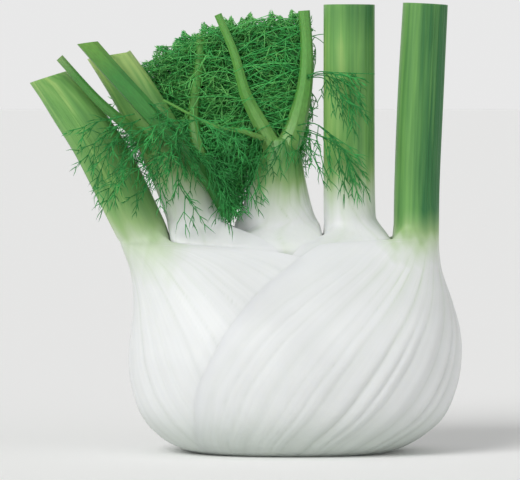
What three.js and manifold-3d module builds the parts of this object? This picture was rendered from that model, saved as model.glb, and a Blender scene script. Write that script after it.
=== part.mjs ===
// Florence fennel bulb, trimmed, standing on its cut base. Millimetres, +Z up, front towards -Y.
// Five leaves grow from a root plate. Each leaf is a fleshy sheath round the bulb that runs up into a
// ribbed stalk, and each sheath lies under the ones outside it. The two middle leaves keep their fronds.

import * as THREE from 'three';
import { LoftGeometry } from 'three/addons/geometries/LoftGeometry.js';
import { mergeVertices } from 'three/addons/utils/BufferGeometryUtils.js';
import Module from 'manifold-3d';

const wasm = await Module();
wasm.setup();

// --- Driving dimensions -------------------------------------------------------------------------

// Outline of the bulb by height: half-width to the right and to the left, half-depth, squareness.
const BULB = [
	{ z: 0, right: 31.5, left: 31.5, depth: 21.5, square: 2.2 },
	{ z: 1.5, right: 37, left: 37, depth: 25, square: 2.2 },
	{ z: 4.5, right: 43, left: 42.8, depth: 28.8, square: 2.2 },
	{ z: 11, right: 50.8, left: 49.2, depth: 33.4, square: 2.2 },
	{ z: 20, right: 55.2, left: 52.8, depth: 36.4, square: 2.2 },
	{ z: 30, right: 57.1, left: 54.2, depth: 37.4, square: 2.2 },
	{ z: 40, right: 56.7, left: 53.4, depth: 35.6, square: 2.3 },
	{ z: 50, right: 54, left: 52.5, depth: 30.6, square: 2.5 },
	{ z: 60, right: 50.5, left: 53.5, depth: 23, square: 2.8 },
	{ z: 67, right: 49.4, left: 55.9, depth: 17, square: 3 },
	{ z: 74, right: 49.3, left: 58.7, depth: 12, square: 3.2 },
	{ z: 80, right: 49.4, left: 62.4, depth: 10, square: 3.2 },
];

const LAYER_GAP = 0.7; // between one sheath and the next where their edges show
const DEEP_GAP = 1.5; // and further in and lower down
const CLEARANCE = 0.35; // least gap between pieces
const SLIVER = 0.04; // edges shorter than this are closed up
const PLATE_TOP = 6; // height of the root plate
const INNER_FOOT = PLATE_TOP + 0.4; // where the inner sheaths stand on it
const PLATE_HEIGHTS = [ 0, 1.5, 4.5, PLATE_TOP ];
const PLATE_SIDES = 36;
const PLATE_COLOR = 0xcbb994;
const [ WAXY, SOFT, DRY ] = [ 0.45, 0.6, 0.8 ]; // roughness of leaves, fronds and the cut base
const EDGE = 0.9; // thickness of a sheath at its free margins
const OUTER_HEIGHTS = [ 0, 1.5, 4.5, 9, 15, 22, 30, 38, 46, 53, 59, 64, 68, 70.5, 72.5 ];
const INNER_HEIGHTS = [ INNER_FOOT, 15, 28, 42, 54, 62, 67.5, 71 ];
const FORK_FOOT = 97; // where the pale heart leaf ends and its green fork begins
const STALK_WRAP = 112; // degrees from the back of a stalk to where its inner face starts
const STALK_CHANNEL = 0.08; // share by which a stalk's inner face is flattened
const LEAN_STEP = 0.5; // height over which a stalk's lean is measured
const STALK_RELIEF = 0.45; // ribs of the stalk against those of the sheath

// Leaves from the outermost in. side: +1 grows on the right, -1 on the left. front and back: how far
// across the sheath's free margins run, by height. inner: how far in the fleshy back of the leaf
// reaches, by height. flesh: thickness of the rest of the sheath, by height. stalk: its middle line,
// half-width and half-depth, by height. ribs: ridges from the middle of the leaf to each margin, and
// relief: their height. hollow: places across the inside. close: heights between which the sheath closes
// into the stalk. stations: heights of the stalk's sections. cut: how far the cut is off square, in degrees.
const LEAVES = [
	{
		name: 'leaf_outer_right', side: 1, heights: OUTER_HEIGHTS, ribs: 10, relief: 0.8, hollow: 13,
		color: 0xe4e8dc,
		front: [ [ 0, -27 ], [ 5, -31.3 ], [ 14, -31.7 ], [ 22, -31 ], [ 32, -26.7 ], [ 41, -21.7 ],
			[ 53, -12.3 ], [ 62, -2 ], [ 67, 5 ], [ 69.6, 9.6 ], [ 70.4, 14 ], [ 70.8, 24 ], [ 71.2, 32 ],
			[ 74, 34 ], [ 80, 38 ] ],
		back: [ [ 0, -22 ], [ 8, -27 ], [ 20, -29 ], [ 34, -24 ], [ 46, -15 ], [ 57, -4 ],
			[ 65, 6 ], [ 68.5, 12 ], [ 70, 18 ], [ 70.6, 26 ], [ 71.2, 33 ], [ 74, 35 ], [ 80, 38 ] ],
		inner: [ [ 0, 27.4 ], [ 4.5, 37 ], [ 11, 44.4 ], [ 20, 48.6 ], [ 30, 49.8 ], [ 40, 48.9 ],
			[ 50, 45 ], [ 60, 39 ], [ 67, 34.8 ], [ 74, 33.6 ], [ 80, 33.8 ] ],
		flesh: [ [ 0, 3.6 ], [ 10, 4.6 ], [ 30, 5.4 ], [ 50, 4.6 ], [ 62, 2.8 ], [ 70, 1.5 ], [ 80, 1.2 ] ],
		stalk: [ { x: 41.4, z: 70, wide: 7.9, deep: 8.6 }, { x: 41.7, z: 90, wide: 7.9, deep: 8.2 },
			{ x: 42.9, z: 120, wide: 8, deep: 8 }, { x: 44.4, z: 149.3, wide: 7.8, deep: 7.8 } ],
		close: [ 69.5, 76.5 ], stations: [ 75, 78, 82, 92, 112, 149.3 ], cut: 0,
	},
	{
		name: 'leaf_outer_left', side: - 1, heights: OUTER_HEIGHTS, ribs: 10, relief: 0.8, hollow: 13,
		color: 0xdde6d0,
		front: [ [ 0, 16 ], [ 8, 24 ], [ 20, 29 ], [ 36, 28 ], [ 50, 22 ], [ 60, 14 ], [ 65, 5 ],
			[ 67.3, -5 ], [ 68.8, -18 ], [ 69.5, -30 ], [ 70, -38 ], [ 73, -41.2 ], [ 80, -48 ] ],
		back: [ [ 0, 12 ], [ 8, 20 ], [ 20, 25 ], [ 36, 23 ], [ 50, 16 ], [ 60, 7 ], [ 65, -2 ],
			[ 67.3, -11 ], [ 68.8, -23 ], [ 69.5, -33 ], [ 70, -39 ], [ 73, -42 ], [ 80, -48 ] ],
		inner: [ [ 0, -27.2 ], [ 4.5, -36 ], [ 11, -42.6 ], [ 20, -46.2 ], [ 30, -47.2 ], [ 40, -46 ],
			[ 50, -43.6 ], [ 60, -41.2 ], [ 67, -39.8 ], [ 74, -41 ], [ 80, -43.6 ] ],
		flesh: [ [ 0, 3.4 ], [ 10, 4.4 ], [ 30, 5 ], [ 50, 4.2 ], [ 62, 2.6 ], [ 70, 1.5 ], [ 80, 1.2 ] ],
		stalk: [ { x: -47.6, z: 70, wide: 8.6, deep: 9 }, { x: -53, z: 81, wide: 8.8, deep: 8.8 },
			{ x: -58.7, z: 92.7, wide: 8.9, deep: 8.5 }, { x: -65, z: 104, wide: 8.5, deep: 8 },
			{ x: -72.7, z: 115, wide: 7.8, deep: 7.4 }, { x: -80.7, z: 125, wide: 6.2, deep: 6.6 } ],
		close: [ 68, 76 ], stations: [ 75, 78, 82, 90, 98, 106, 116, 125 ], cut: 21,
	},
	{
		name: 'leaf_centre_right', side: 1, heights: INNER_HEIGHTS, ribs: 4, relief: 0.5, hollow: 9,
		color: 0xcfdcb6,
		front: [ [ 6, -14 ], [ 20, -18 ], [ 40, -16 ], [ 56, -8 ], [ 66, 0 ], [ 72, 6 ], [ 80, 12 ] ],
		back: [ [ 6, -12 ], [ 20, -15 ], [ 40, -13 ], [ 56, -5 ], [ 66, 2 ], [ 72, 7 ], [ 80, 12 ] ],
		inner: [ [ 6, 28 ], [ 11, 33 ], [ 20, 37 ], [ 30, 38 ], [ 40, 36 ], [ 50, 29 ], [ 60, 19 ],
			[ 67, 12.5 ], [ 74, 10.2 ], [ 80, 10.2 ] ],
		flesh: [ [ 6, 3.4 ], [ 14, 4 ], [ 30, 4.4 ], [ 50, 3.4 ], [ 62, 2 ], [ 70, 1.3 ], [ 80, 1.2 ] ],
		stalk: [ { x: 20, z: 70, wide: 9.4, deep: 9.4 }, { x: 19.2, z: 80, wide: 9, deep: 9 },
			{ x: 19, z: 110, wide: 8.9, deep: 8.6 }, { x: 19, z: 149, wide: 8.9, deep: 8.4 } ],
		close: [ 69, 78 ], stations: [ 75, 78, 82, 94, 114, 149 ], cut: 0,
	},
	{
		name: 'leaf_middle_left', side: - 1, heights: INNER_HEIGHTS, ribs: 4, relief: 0.5, hollow: 9,
		color: 0xc6d9a4,
		front: [ [ 6, 10 ], [ 20, 14 ], [ 40, 11 ], [ 56, 5 ], [ 66, -3 ], [ 72, -10 ], [ 78, -18 ], [ 84, -24 ] ],
		back: [ [ 6, 8 ], [ 20, 11 ], [ 40, 9 ], [ 56, 3 ], [ 66, -5 ], [ 72, -12 ], [ 78, -19 ], [ 84, -24 ] ],
		inner: [ [ 6, -26 ], [ 11, -30 ], [ 20, -34 ], [ 30, -35.4 ], [ 40, -33.6 ], [ 50, -29 ],
			[ 60, -23.6 ], [ 67, -20.6 ], [ 74, -20.2 ], [ 80, -22 ] ],
		flesh: [ [ 6, 3 ], [ 14, 3.6 ], [ 30, 4 ], [ 50, 3 ], [ 62, 1.8 ], [ 70, 1.2 ], [ 80, 1.2 ] ],
		stalk: [ { x: -29.8, z: 70, wide: 9.2, deep: 9.2 }, { x: -33, z: 81, wide: 9.1, deep: 8.6 },
			{ x: -41, z: 100, wide: 8.5, deep: 7.6 }, { x: -51.6, z: 119, wide: 7.7, deep: 7 },
			{ x: -60.3, z: 132.2, wide: 7, deep: 6.6 } ],
		close: [ 71, 81 ], stations: [ 75, 78, 82, 90, 98, 108, 119, 132.2 ], cut: 24,
		branch: { line: [ [ - 46.3, - 4, 101 ], [ - 51.4, - 7.5, 106.4 ], [ - 57.9, - 8.6, 111.8 ],
			[ - 64, - 9, 117.3 ], [ - 76.6, - 9.2, 131.3 ] ], from: 2.5, to: 1.4, sides: 6 },
	},
	{
		name: 'leaf_middle', side: 1, heights: INNER_HEIGHTS, ribs: 4, relief: 0.5, hollow: 5, solid: true,
		color: 0xd5e2bd,
		front: [ [ 0, -60 ], [ 80, -60 ] ],
		back: [ [ 0, -60 ], [ 80, -60 ] ],
		inner: [ [ 0, 0 ], [ 80, 0 ] ],
		flesh: [ [ 0, 1 ], [ 80, 1 ] ],
		stalk: [ { x: -4.6, z: 70, wide: 15.2, deep: 9.4 }, { x: -5.1, z: 76, wide: 14.5, deep: 9 },
			{ x: -4.8, z: 82, wide: 12, deep: 8.4 }, { x: -4, z: 92, wide: 8.8, deep: 7.2 },
			{ x: -3.6, z: 98, wide: 7.2, deep: 6 },
			{ x: -3.6, z: 104, wide: 4.6, deep: 4 } ],
		close: [ 70, 78 ], stations: [ 75, 78, 82, 88, 93, FORK_FOOT ], cut: 0,
	},
];

const BULB_SHOULDER = 74; // height where the stalks stand clear of the bulb
const STALK_PROBES = 28; // places tried along a stalk
const THREAD_PROBES = 4; // and along a thread
const GOLDEN_TURN = Math.PI * ( 3 - Math.sqrt( 5 ) );

// Sprays: length, how far they droop, half-thickness of the midrib, where whorls of threads leave it.
const SPRAY = {
	length: 21, droop: 0.2, steps: 6, midrib: 0.62, taper: 0.35, first: 2.2, every: 2.5, base: 0.8,
};
// Threads: shares of the length to try where it is crowded, splay from the midrib in degrees, share by
// which they get shorter towards the spray's tip, share of each that is its root, room round the rest.
const THREAD = {
	length: 9, radius: 0.35, shares: [ 1, 0.65 ], splay: [ 36, 64 ], taper: 0.45, sunk: 0.2, room: 0.1,
};
// The arc along which the fronds were trimmed: its top, and how far it falls at half its width.
const TRIM = { top: 147, half: 48.7, fall: 14, power: 2.4 };

// Fronds: stems with their line, half-thickness at both ends and number of sprays, which start a share
// `low` of the way up, and sprays that trail further, by the places they run through.
const FRONDS = [
	{
		name: 'frond_middle_left', seed: 11, color: 0x3f8a45,
		stems: [
			{ line: [ [ - 22.5, - 1, 79 ], [ - 25.5, - 3, 88 ], [ - 32.5, - 9.5, 98 ], [ - 42, - 12.8, 108 ],
				[ - 51, - 12.8, 118 ], [ - 58.7, - 12.4, 126.4 ], [ - 67.3, - 11.6, 136.2 ] ],
				from: 3.1, to: 3, sides: 6, sprays: 7, low: 0.4 },
			{ line: [ [ - 25.5, - 3, 88 ], [ - 30.5, 1, 100 ], [ - 32.6, 4, 112 ], [ - 30.6, 4, 130 ],
				[ - 30, 4, 139 ] ], from: 2.4, to: 1.6, sides: 6, sprays: 14, low: 0.25 },
		],
		trailing: [
			[ [ - 45, - 12.6, 119 ], [ - 55, - 14.5, 110 ], [ - 62, - 14, 99 ], [ - 65, - 12.5, 87 ] ],
			[ [ - 40, - 12.6, 115 ], [ - 48, - 14.5, 107 ], [ - 52.5, - 14, 97 ], [ - 54, - 13, 85 ] ],
			[ [ - 31, - 10, 100 ], [ - 35, - 13.5, 95 ], [ - 38, - 14, 88 ], [ - 38, - 14.5, 80 ] ],
			[ [ - 32, 4, 112 ], [ - 42, 11, 112 ], [ - 52, 13.5, 103 ], [ - 57, 13, 90 ] ],
		],
	},
	{
		name: 'frond_middle', seed: 5, color: 0x4c9648, foot: true,
		stems: [
			{ line: [ [ - 1.9, 0, 100 ], [ 1.6, 0, 109 ], [ 4.6, - 1, 122 ], [ 5.2, - 1, 134 ],
				[ 4.3, - 1, 147 ] ], from: 4.2, to: 1.9, sides: 6, sprays: 12, low: 0.35 },
			{ line: [ [ - 5.4, 0, 100 ], [ - 10, - 2, 109 ], [ - 15, - 3, 119 ], [ - 19, - 4, 133 ],
				[ - 24.3, - 4, 145.7 ] ], from: 4, to: 1.4, sides: 6, sprays: 17, low: 0.3 },
			{ line: [ [ - 8.5, - 3, 104 ], [ - 16, - 11, 107 ], [ - 25.3, - 16.5, 108.8 ], [ - 42, - 20, 117.3 ] ],
				from: 1, to: 0.7, sides: 4, sprays: 8, low: 0.15 },
			{ line: [ [ - 9, 4, 104 ], [ - 17, 9, 108 ], [ - 25, 13, 112 ], [ - 36, 15, 121 ] ],
				from: 1, to: 0.7, sides: 4, sprays: 8, low: 0.15 },
		],
		trailing: [
			[ [ 4.6, - 1, 122 ], [ 8, - 10, 121 ], [ 17, - 13, 118 ], [ 26, - 13.5, 111 ] ],
			[ [ 1.6, - 2, 109 ], [ 7, - 11, 107 ], [ 18, - 13.5, 101 ], [ 25, - 13.5, 90 ] ],
			[ [ 0, - 2, 105 ], [ 4, - 11, 102 ], [ 10, - 14, 95 ], [ 14, - 14.5, 84 ] ],
			[ [ 3, 1, 116 ], [ 8, 11, 115 ], [ 18, 13, 109 ], [ 25, 13.5, 99 ] ],
			[ [ - 6, - 3, 104 ], [ - 10, - 9.5, 98 ], [ - 11, - 12.5, 90 ], [ - 10, - 14.5, 80 ] ],
			[ [ - 6, 3, 104 ], [ - 12, 9.5, 97 ], [ - 15, 13, 89 ], [ - 16, 14.5, 80 ] ],
			[ [ - 10, - 2, 109 ], [ - 17, - 5, 103 ], [ - 20, - 7, 95 ], [ - 18.5, - 10, 84 ] ],
		],
	},
];

// --- Curves and outlines ------------------------------------------------------------------------

const clamp = ( value, low, high ) => Math.min( high, Math.max( low, value ) );
const mix = ( a, b, share ) => a + ( b - a ) * share;

function smooth( from, to, value ) {

	const share = clamp( ( value - from ) / ( to - from ), 0, 1 );
	return share * share * ( 3 - 2 * share );

}

// A smooth curve through ( at, value ) pairs in rising order, level beyond both ends.
function curve( pairs, at ) {

	const last = pairs.length - 1;
	if ( at <= pairs[ 0 ][ 0 ] ) return pairs[ 0 ][ 1 ];
	if ( at >= pairs[ last ][ 0 ] ) return pairs[ last ][ 1 ];
	const slope = ( i ) => {

		const low = pairs[ Math.max( 0, i - 1 ) ];
		const high = pairs[ Math.min( last, i + 1 ) ];
		return ( high[ 1 ] - low[ 1 ] ) / ( high[ 0 ] - low[ 0 ] );

	};

	const i = pairs.findIndex( ( pair, n ) => n < last && at < pairs[ n + 1 ][ 0 ] );
	const span = pairs[ i + 1 ][ 0 ] - pairs[ i ][ 0 ];
	const u = ( at - pairs[ i ][ 0 ] ) / span;
	const rise = slope( i ) * span;
	const fall = slope( i + 1 ) * span;
	const [ a, b ] = [ pairs[ i ][ 1 ], pairs[ i + 1 ][ 1 ] ];
	return a + u * ( rise + u * ( 3 * ( b - a ) - 2 * rise - fall + u * ( rise + fall - 2 * ( b - a ) ) ) );

}

const column = ( rows, key ) => rows.map( ( row ) => [ row.z, row[ key ] ] );
const BULB_CURVES = {};
for ( const key of [ 'right', 'left', 'depth', 'square' ] ) BULB_CURVES[ key ] = column( BULB, key );

// A point of the bulb's outline at height z. turn runs from 0 at the right end over the front to PI
// at the left end, and is negative over the back. inset: how deep it lies under the outside.
function outline( z, turn, inset = 0 ) {

	const power = 2 / curve( BULB_CURVES.square, z );
	const cos = Math.cos( turn );
	const sin = Math.sin( turn );
	const half = curve( cos > 0 ? BULB_CURVES.right : BULB_CURVES.left, z ) - inset;
	const depth = curve( BULB_CURVES.depth, z ) - inset;
	return {
		x: half * Math.sign( cos ) * Math.abs( cos ) ** power,
		y: - depth * Math.sign( sin ) * Math.abs( sin ) ** power,
	};

}

// The turn at which the outline's front reaches across to x.
function turnAt( z, x ) {

	const half = curve( x > 0 ? BULB_CURVES.right : BULB_CURVES.left, z );
	const share = clamp( Math.abs( x ) / half, 0, 0.999 ) ** ( curve( BULB_CURVES.square, z ) / 2 );
	return Math.acos( Math.sign( x ) * share );

}

// Equal steps of length along the outline from its right end over the front to its left end.
const ARC_STEPS = 48;
const arcs = new Map();
function arcOf( z ) {

	if ( arcs.has( z ) ) return arcs.get( z );
	const lengths = [ 0 ];
	let before = outline( z, 0 );
	for ( let i = 1; i <= ARC_STEPS; i ++ ) {

		const point = outline( z, Math.PI * i / ARC_STEPS );
		lengths.push( lengths[ i - 1 ] + Math.hypot( point.x - before.x, point.y - before.y ) );
		before = point;

	}

	arcs.set( z, lengths );
	return lengths;

}

function lengthAtTurn( z, turn ) {

	const lengths = arcOf( z );
	const place = clamp( turn / Math.PI, 0, 1 ) * ARC_STEPS;
	const i = Math.min( ARC_STEPS - 1, Math.floor( place ) );
	return mix( lengths[ i ], lengths[ i + 1 ], place - i );

}

function turnAtLength( z, length ) {

	const lengths = arcOf( z );
	let i = 0;
	while ( i < ARC_STEPS - 1 && lengths[ i + 1 ] < length ) i ++;
	const share = clamp( ( length - lengths[ i ] ) / ( lengths[ i + 1 ] - lengths[ i ] ), 0, 1 );
	return Math.PI * ( i + share ) / ARC_STEPS;

}

// --- Leaves -------------------------------------------------------------------------------------

const OUTSIDE_CORNER = 3.2; // rounding of an inner leaf where it meets the flesh of the one outside it
const INSIDE_CORNER = 1.4; // and of the hollow that a sheath leaves round the ones within
const MARGIN_STEP = 0.16; // turn over which the sheath below rises past a margin
const THIN_EDGE = 5; // power by which the flesh thins out towards the margins
const GROOVE_SHARE = 0.3; // of the flesh, at most

// Where across a leaf a turn lies: 0 on its middle line, +1 on the front margin, -1 on the back one.
function across( leaf, z, turn ) {

	const front = turn >= 0;
	const edge = turnAt( z, curve( front ? leaf.front : leaf.back, z ) );
	const from = leaf.side > 0 ? 0 : Math.PI;
	return ( Math.abs( turn ) - from ) / ( edge - from ) * ( front ? 1 : - 1 );

}

function fleshAt( leaf, z, u ) {

	return mix( curve( leaf.flesh, z ), EDGE, Math.abs( u ) ** THIN_EDGE );

}

function gapUnder( layer, z ) {

	return layer < 2 ? LAYER_GAP : mix( DEEP_GAP, LAYER_GAP, smooth( 58, 70, z ) );

}

// How deep the outside of layer number `layer` lies under the bulb's outline.
function depthOf( layer, z, turn ) {

	let deepest = 0;
	for ( let i = 0; i < layer; i ++ ) {

		const over = LEAVES[ i ];
		if ( z < over.heights[ 0 ] - 1 ) continue;
		const u = Math.abs( across( over, z, turn ) );
		const edge = turnAt( z, curve( turn >= 0 ? over.front : over.back, z ) );
		const past = Math.abs( Math.abs( turn ) - edge );
		const cover = u <= 1 ? 1 : 1 - smooth( 0, MARGIN_STEP, past );
		if ( cover === 0 ) continue;
		const below = depthOf( i, z, turn ) + fleshAt( over, z, Math.min( 1, u ) ) + gapUnder( layer, z );
		deepest = Math.max( deepest, below * cover );

	}

	return deepest;

}

// The flat ends of layer number `layer`: the fleshy backs of the leaves outside it stop it there.
function limitsOf( layer, z ) {

	let right = Infinity;
	let left = - Infinity;
	for ( let i = 0; i < layer; i ++ ) {

		const face = curve( LEAVES[ i ].inner, z );
		if ( LEAVES[ i ].side > 0 ) right = Math.min( right, face - gapUnder( layer, z ) );
		else left = Math.max( left, face + gapUnder( layer, z ) );

	}

	return { right, left };

}

// The smaller of two numbers, with the corner between them rounded.
const softMin = ( a, b, round ) => - round * Math.log( Math.exp( - a / round ) + Math.exp( - b / round ) );

function within( x, limits, round ) {

	const left = - softMin( - x, - limits.left, round );
	return softMin( left, limits.right, round );

}

function layerPoint( layer, z, turn, inset ) {

	const depth = depthOf( layer, z, turn ) + inset;
	const point = outline( z, turn, depth );
	return new THREE.Vector3( within( point.x, limitsOf( layer, z ), OUTSIDE_CORNER ), point.y, z );

}

// One closed loop round the sheath at height z: outside from margin to margin, then back inside.
// room: how much wider than the leaf it is on both faces and at the margins, also upwards.
function sheathLoop( leaf, z, room ) {

	const outside = outsideColumns( leaf );
	const inside = insideColumns( leaf );
	const from = leaf.side > 0 ? 0 : Math.PI;
	const ownEnd = leaf.side > 0 ? 0 : arcOf( z )[ ARC_STEPS ];
	const turnOf = ( u ) => {

		const margins = u >= 0 ? leaf.front : leaf.back;
		const [ here, lower ] = [ curve( margins, z ), curve( margins, z - room ) ];
		const margin = leaf.side > 0 ? Math.min( here, lower ) - room : Math.max( here, lower ) + room;
		const edge = lengthAtTurn( z, turnAt( z, margin ) );
		const turn = u === 0 ? from : turnAtLength( z, mix( ownEnd, edge, Math.abs( u ) ) );
		return u < 0 ? - turn : turn;

	};

	const layer = LEAVES.indexOf( leaf );
	const loop = outside.map( ( u, i ) => {

		const flesh = fleshAt( leaf, z, u );
		const groove = i % 2 === 1 ? Math.min( leaf.relief, flesh * GROOVE_SHARE ) : 0;
		return layerPoint( layer, z, turnOf( u ), groove - room );

	} );
	const face = curve( leaf.inner, z ) - leaf.side * room;
	const own = leaf.side > 0 ? { right: face, left: - Infinity } : { right: Infinity, left: face };
	if ( leaf.solid ) {

		const ends = [ loop[ loop.length - 1 ], loop[ 0 ] ];
		return [ ...loop, ...inside.map( ( u ) => ends[ 0 ].clone().lerp( ends[ 1 ], ( 1 + u ) / 2 ) ) ];

	}

	const back = inside.map( ( u ) => {

		const point = layerPoint( layer, z, turnOf( u ), fleshAt( leaf, z, u ) + room );
		point.x = within( point.x, own, INSIDE_CORNER );
		return point;

	} );
	return [ ...loop, ...back ];

}

// Places across the leaf of a loop's points, in the order that winds the loop to the left.
function outsideColumns( leaf ) {

	const count = leaf.ribs * 4;
	const places = Array.from( { length: count + 1 }, ( _, i ) => 1 - 2 * i / count );
	return leaf.side > 0 ? places : places.reverse();

}

function insideColumns( leaf ) {

	const reach = leaf.solid ? 1 - 1 / leaf.hollow : 1;
	const step = 2 * reach / ( leaf.hollow - 1 );
	const places = Array.from( { length: leaf.hollow }, ( _, i ) => i * step - reach );
	return leaf.side > 0 ? places : places.reverse();

}

// One closed loop square across the stalk where its middle line passes height z.
function stalkLoop( leaf, z, room, tilt = 0 ) {

	const line = column( leaf.stalk, 'x' );
	const top = line[ line.length - 1 ][ 0 ];
	const [ above, under ] = [ Math.min( z + LEAN_STEP, top ), Math.min( z, top ) - LEAN_STEP ];
	const lean = Math.atan2( curve( line, above ) - curve( line, under ), above - under );
	const slant = THREE.MathUtils.degToRad( tilt );
	const angle = lean + slant;
	const out = new THREE.Vector3( Math.cos( angle ), 0, - Math.sin( angle ) ).multiplyScalar( leaf.side );
	const wide = curve( column( leaf.stalk, 'wide' ), z ) / Math.cos( slant ) + room;
	const deep = curve( column( leaf.stalk, 'deep' ), z ) + room;
	const middle = new THREE.Vector3( curve( line, z ), 0, z );
	const at = ( degrees, inset ) => {

		const turn = THREE.MathUtils.degToRad( degrees );
		const channel = degrees > 90 && degrees < 270 ? STALK_CHANNEL * Math.cos( turn ) ** 2 : 0;
		const point = middle.clone().addScaledVector( out, ( wide - inset ) * Math.cos( turn ) * ( 1 - channel ) );
		point.y -= ( deep - inset ) * Math.sin( turn );
		return point;

	};

	const groove = leaf.relief * STALK_RELIEF;
	const outside = outsideColumns( leaf ).map( ( u, i ) => at( u * STALK_WRAP, i % 2 === 1 ? groove : 0 ) );
	const rest = 180 - STALK_WRAP;
	const steps = leaf.hollow + 1;
	const inside = insideColumns( leaf ).map( ( u, i ) => {

		const place = 2 * ( i + 1 ) / steps - 1;
		return at( 180 - leaf.side * place * rest, 0 );

	} );
	return [ ...outside, ...inside ];

}

function leafLoft( leaf, room = 0 ) {

	const sections = [];
	for ( const z of [ ...leaf.heights, ...leaf.stations ] ) {

		const closed = smooth( ...leaf.close, z );
		const top = z === leaf.stations[ leaf.stations.length - 1 ];
		if ( closed === 0 ) {

			sections.push( sheathLoop( leaf, z, room ) );
			continue;

		}

		const stalk = stalkLoop( leaf, z, room, top ? leaf.cut : 0 );
		if ( closed === 1 ) {

			sections.push( stalk );
			continue;

		}

		const sheath = sheathLoop( leaf, z, room );
		sections.push( sheath.map( ( point, i ) => point.lerp( stalk[ i ], closed ) ) );

	}

	return new LoftGeometry( sections, { capStart: true, capEnd: true } );

}

// --- Solids -------------------------------------------------------------------------------------

function solidOf( geometry ) {

	const bare = new THREE.BufferGeometry();
	bare.setAttribute( 'position', geometry.attributes.position );
	bare.setIndex( geometry.index );
	const merged = mergeVertices( bare, 1e-4 );
	return new wasm.Manifold( new wasm.Mesh( {
		numProp: 3,
		vertProperties: new Float32Array( merged.attributes.position.array ),
		triVerts: new Uint32Array( merged.index.array ),
	} ) );

}

function geometryOf( solid ) {

	const mesh = solid.getMesh();
	const geometry = new THREE.BufferGeometry();
	geometry.setAttribute( 'position', new THREE.BufferAttribute( mesh.vertProperties, 3 ) );
	geometry.setIndex( new THREE.BufferAttribute( mesh.triVerts, 1 ) );
	geometry.computeVertexNormals();
	return geometry;

}

function named( name, geometry, color, roughness ) {

	const material = new THREE.MeshStandardMaterial( { color, roughness, metalness: 0, flatShading: true } );
	const mesh = new THREE.Mesh( geometry, material );
	mesh.name = name;
	return mesh;

}

// The root plate fills the foot of the bulb inside the two outer sheaths.
function plateLoft() {

	const step = 2 * Math.PI / PLATE_SIDES;
	const turns = Array.from( { length: PLATE_SIDES }, ( _, i ) => Math.PI - step * ( i + 0.5 ) );
	const sections = PLATE_HEIGHTS.map( ( z ) => turns.map( ( turn ) => layerPoint( 2, z, turn, 0 ) ) );
	return new LoftGeometry( sections, { capStart: true, capEnd: true } );

}

// The largest of the bodies that a cut leaves, without its scraps and slivers.
function trimmed( solid ) {

	const bodies = solid.simplify( SLIVER ).decompose().sort( ( a, b ) => b.volume() - a.volume() );
	return bodies[ 0 ];

}

// --- Fronds -------------------------------------------------------------------------------------

// Repeatable random numbers from 0 to 1.
function seeded( seed ) {

	let state = seed >>> 0;
	return () => {

		state = ( state + 0x6d2b79f5 ) >>> 0;
		let t = state;
		t = Math.imul( t ^ ( t >>> 15 ), t | 1 );
		t ^= t + Math.imul( t ^ ( t >>> 7 ), t | 61 );
		return ( ( t ^ ( t >>> 14 ) ) >>> 0 ) / 4294967296;

	};

}

const vector = ( place ) => new THREE.Vector3( ...place );

// How high the fronds were left when they were trimmed.
const trimHeight = ( x ) => TRIM.top - TRIM.fall * Math.abs( x / TRIM.half ) ** TRIM.power;

// Places along the middle line of each stalk, which threads keep clear of.
const stalkLines = LEAVES.map( ( leaf ) => {

	const top = leaf.stations[ leaf.stations.length - 1 ];
	return Array.from( { length: STALK_PROBES + 1 }, ( _, i ) => {

		const z = mix( BULB_SHOULDER, top, i / STALK_PROBES );
		const at = ( key ) => curve( column( leaf.stalk, key ), z );
		return { x: at( 'x' ), z, wide: at( 'wide' ), deep: at( 'deep' ) };

	} );

} );

// Whether a place, with room round it, lies in the bulb or in a stalk.
function blocked( place, room ) {

	if ( place.z < BULB_SHOULDER + 2 ) {

		const half = curve( place.x > 0 ? BULB_CURVES.right : BULB_CURVES.left, place.z ) + room;
		const depth = curve( BULB_CURVES.depth, place.z ) + room;
		const power = curve( BULB_CURVES.square, place.z );
		if ( Math.abs( place.x / half ) ** power + Math.abs( place.y / depth ) ** power < 1 ) return true;

	}

	for ( const line of stalkLines ) {

		for ( let i = 0; i < line.length; i ++ ) {

			const { x, z, wide, deep } = line[ i ];
			const off = Math.hypot( place.x - x, place.z - z ) / ( wide + room );
			if ( off * off + ( place.y / ( deep + room ) ) ** 2 < 1 ) return true;

		}

	}

	return false;

}

// Least distance between the straight threads from a to b and from c to d.
function apart( a, b, c, d ) {

	const first = b.clone().sub( a );
	const second = d.clone().sub( c );
	const between = a.clone().sub( c );
	const [ lengthA, lengthB, both ] = [ first.lengthSq(), second.lengthSq(), first.dot( second ) ];
	const [ offA, offB ] = [ first.dot( between ), second.dot( between ) ];
	const spread = lengthA * lengthB - both * both;
	let along = spread > 1e-9 ? clamp( ( both * offB - offA * lengthB ) / spread, 0, 1 ) : 0;
	const beside = clamp( ( both * along + offB ) / lengthB, 0, 1 );
	along = clamp( ( both * beside - offA ) / lengthA, 0, 1 );
	return between.addScaledVector( first, along ).addScaledVector( second, - beside ).length();

}

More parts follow.
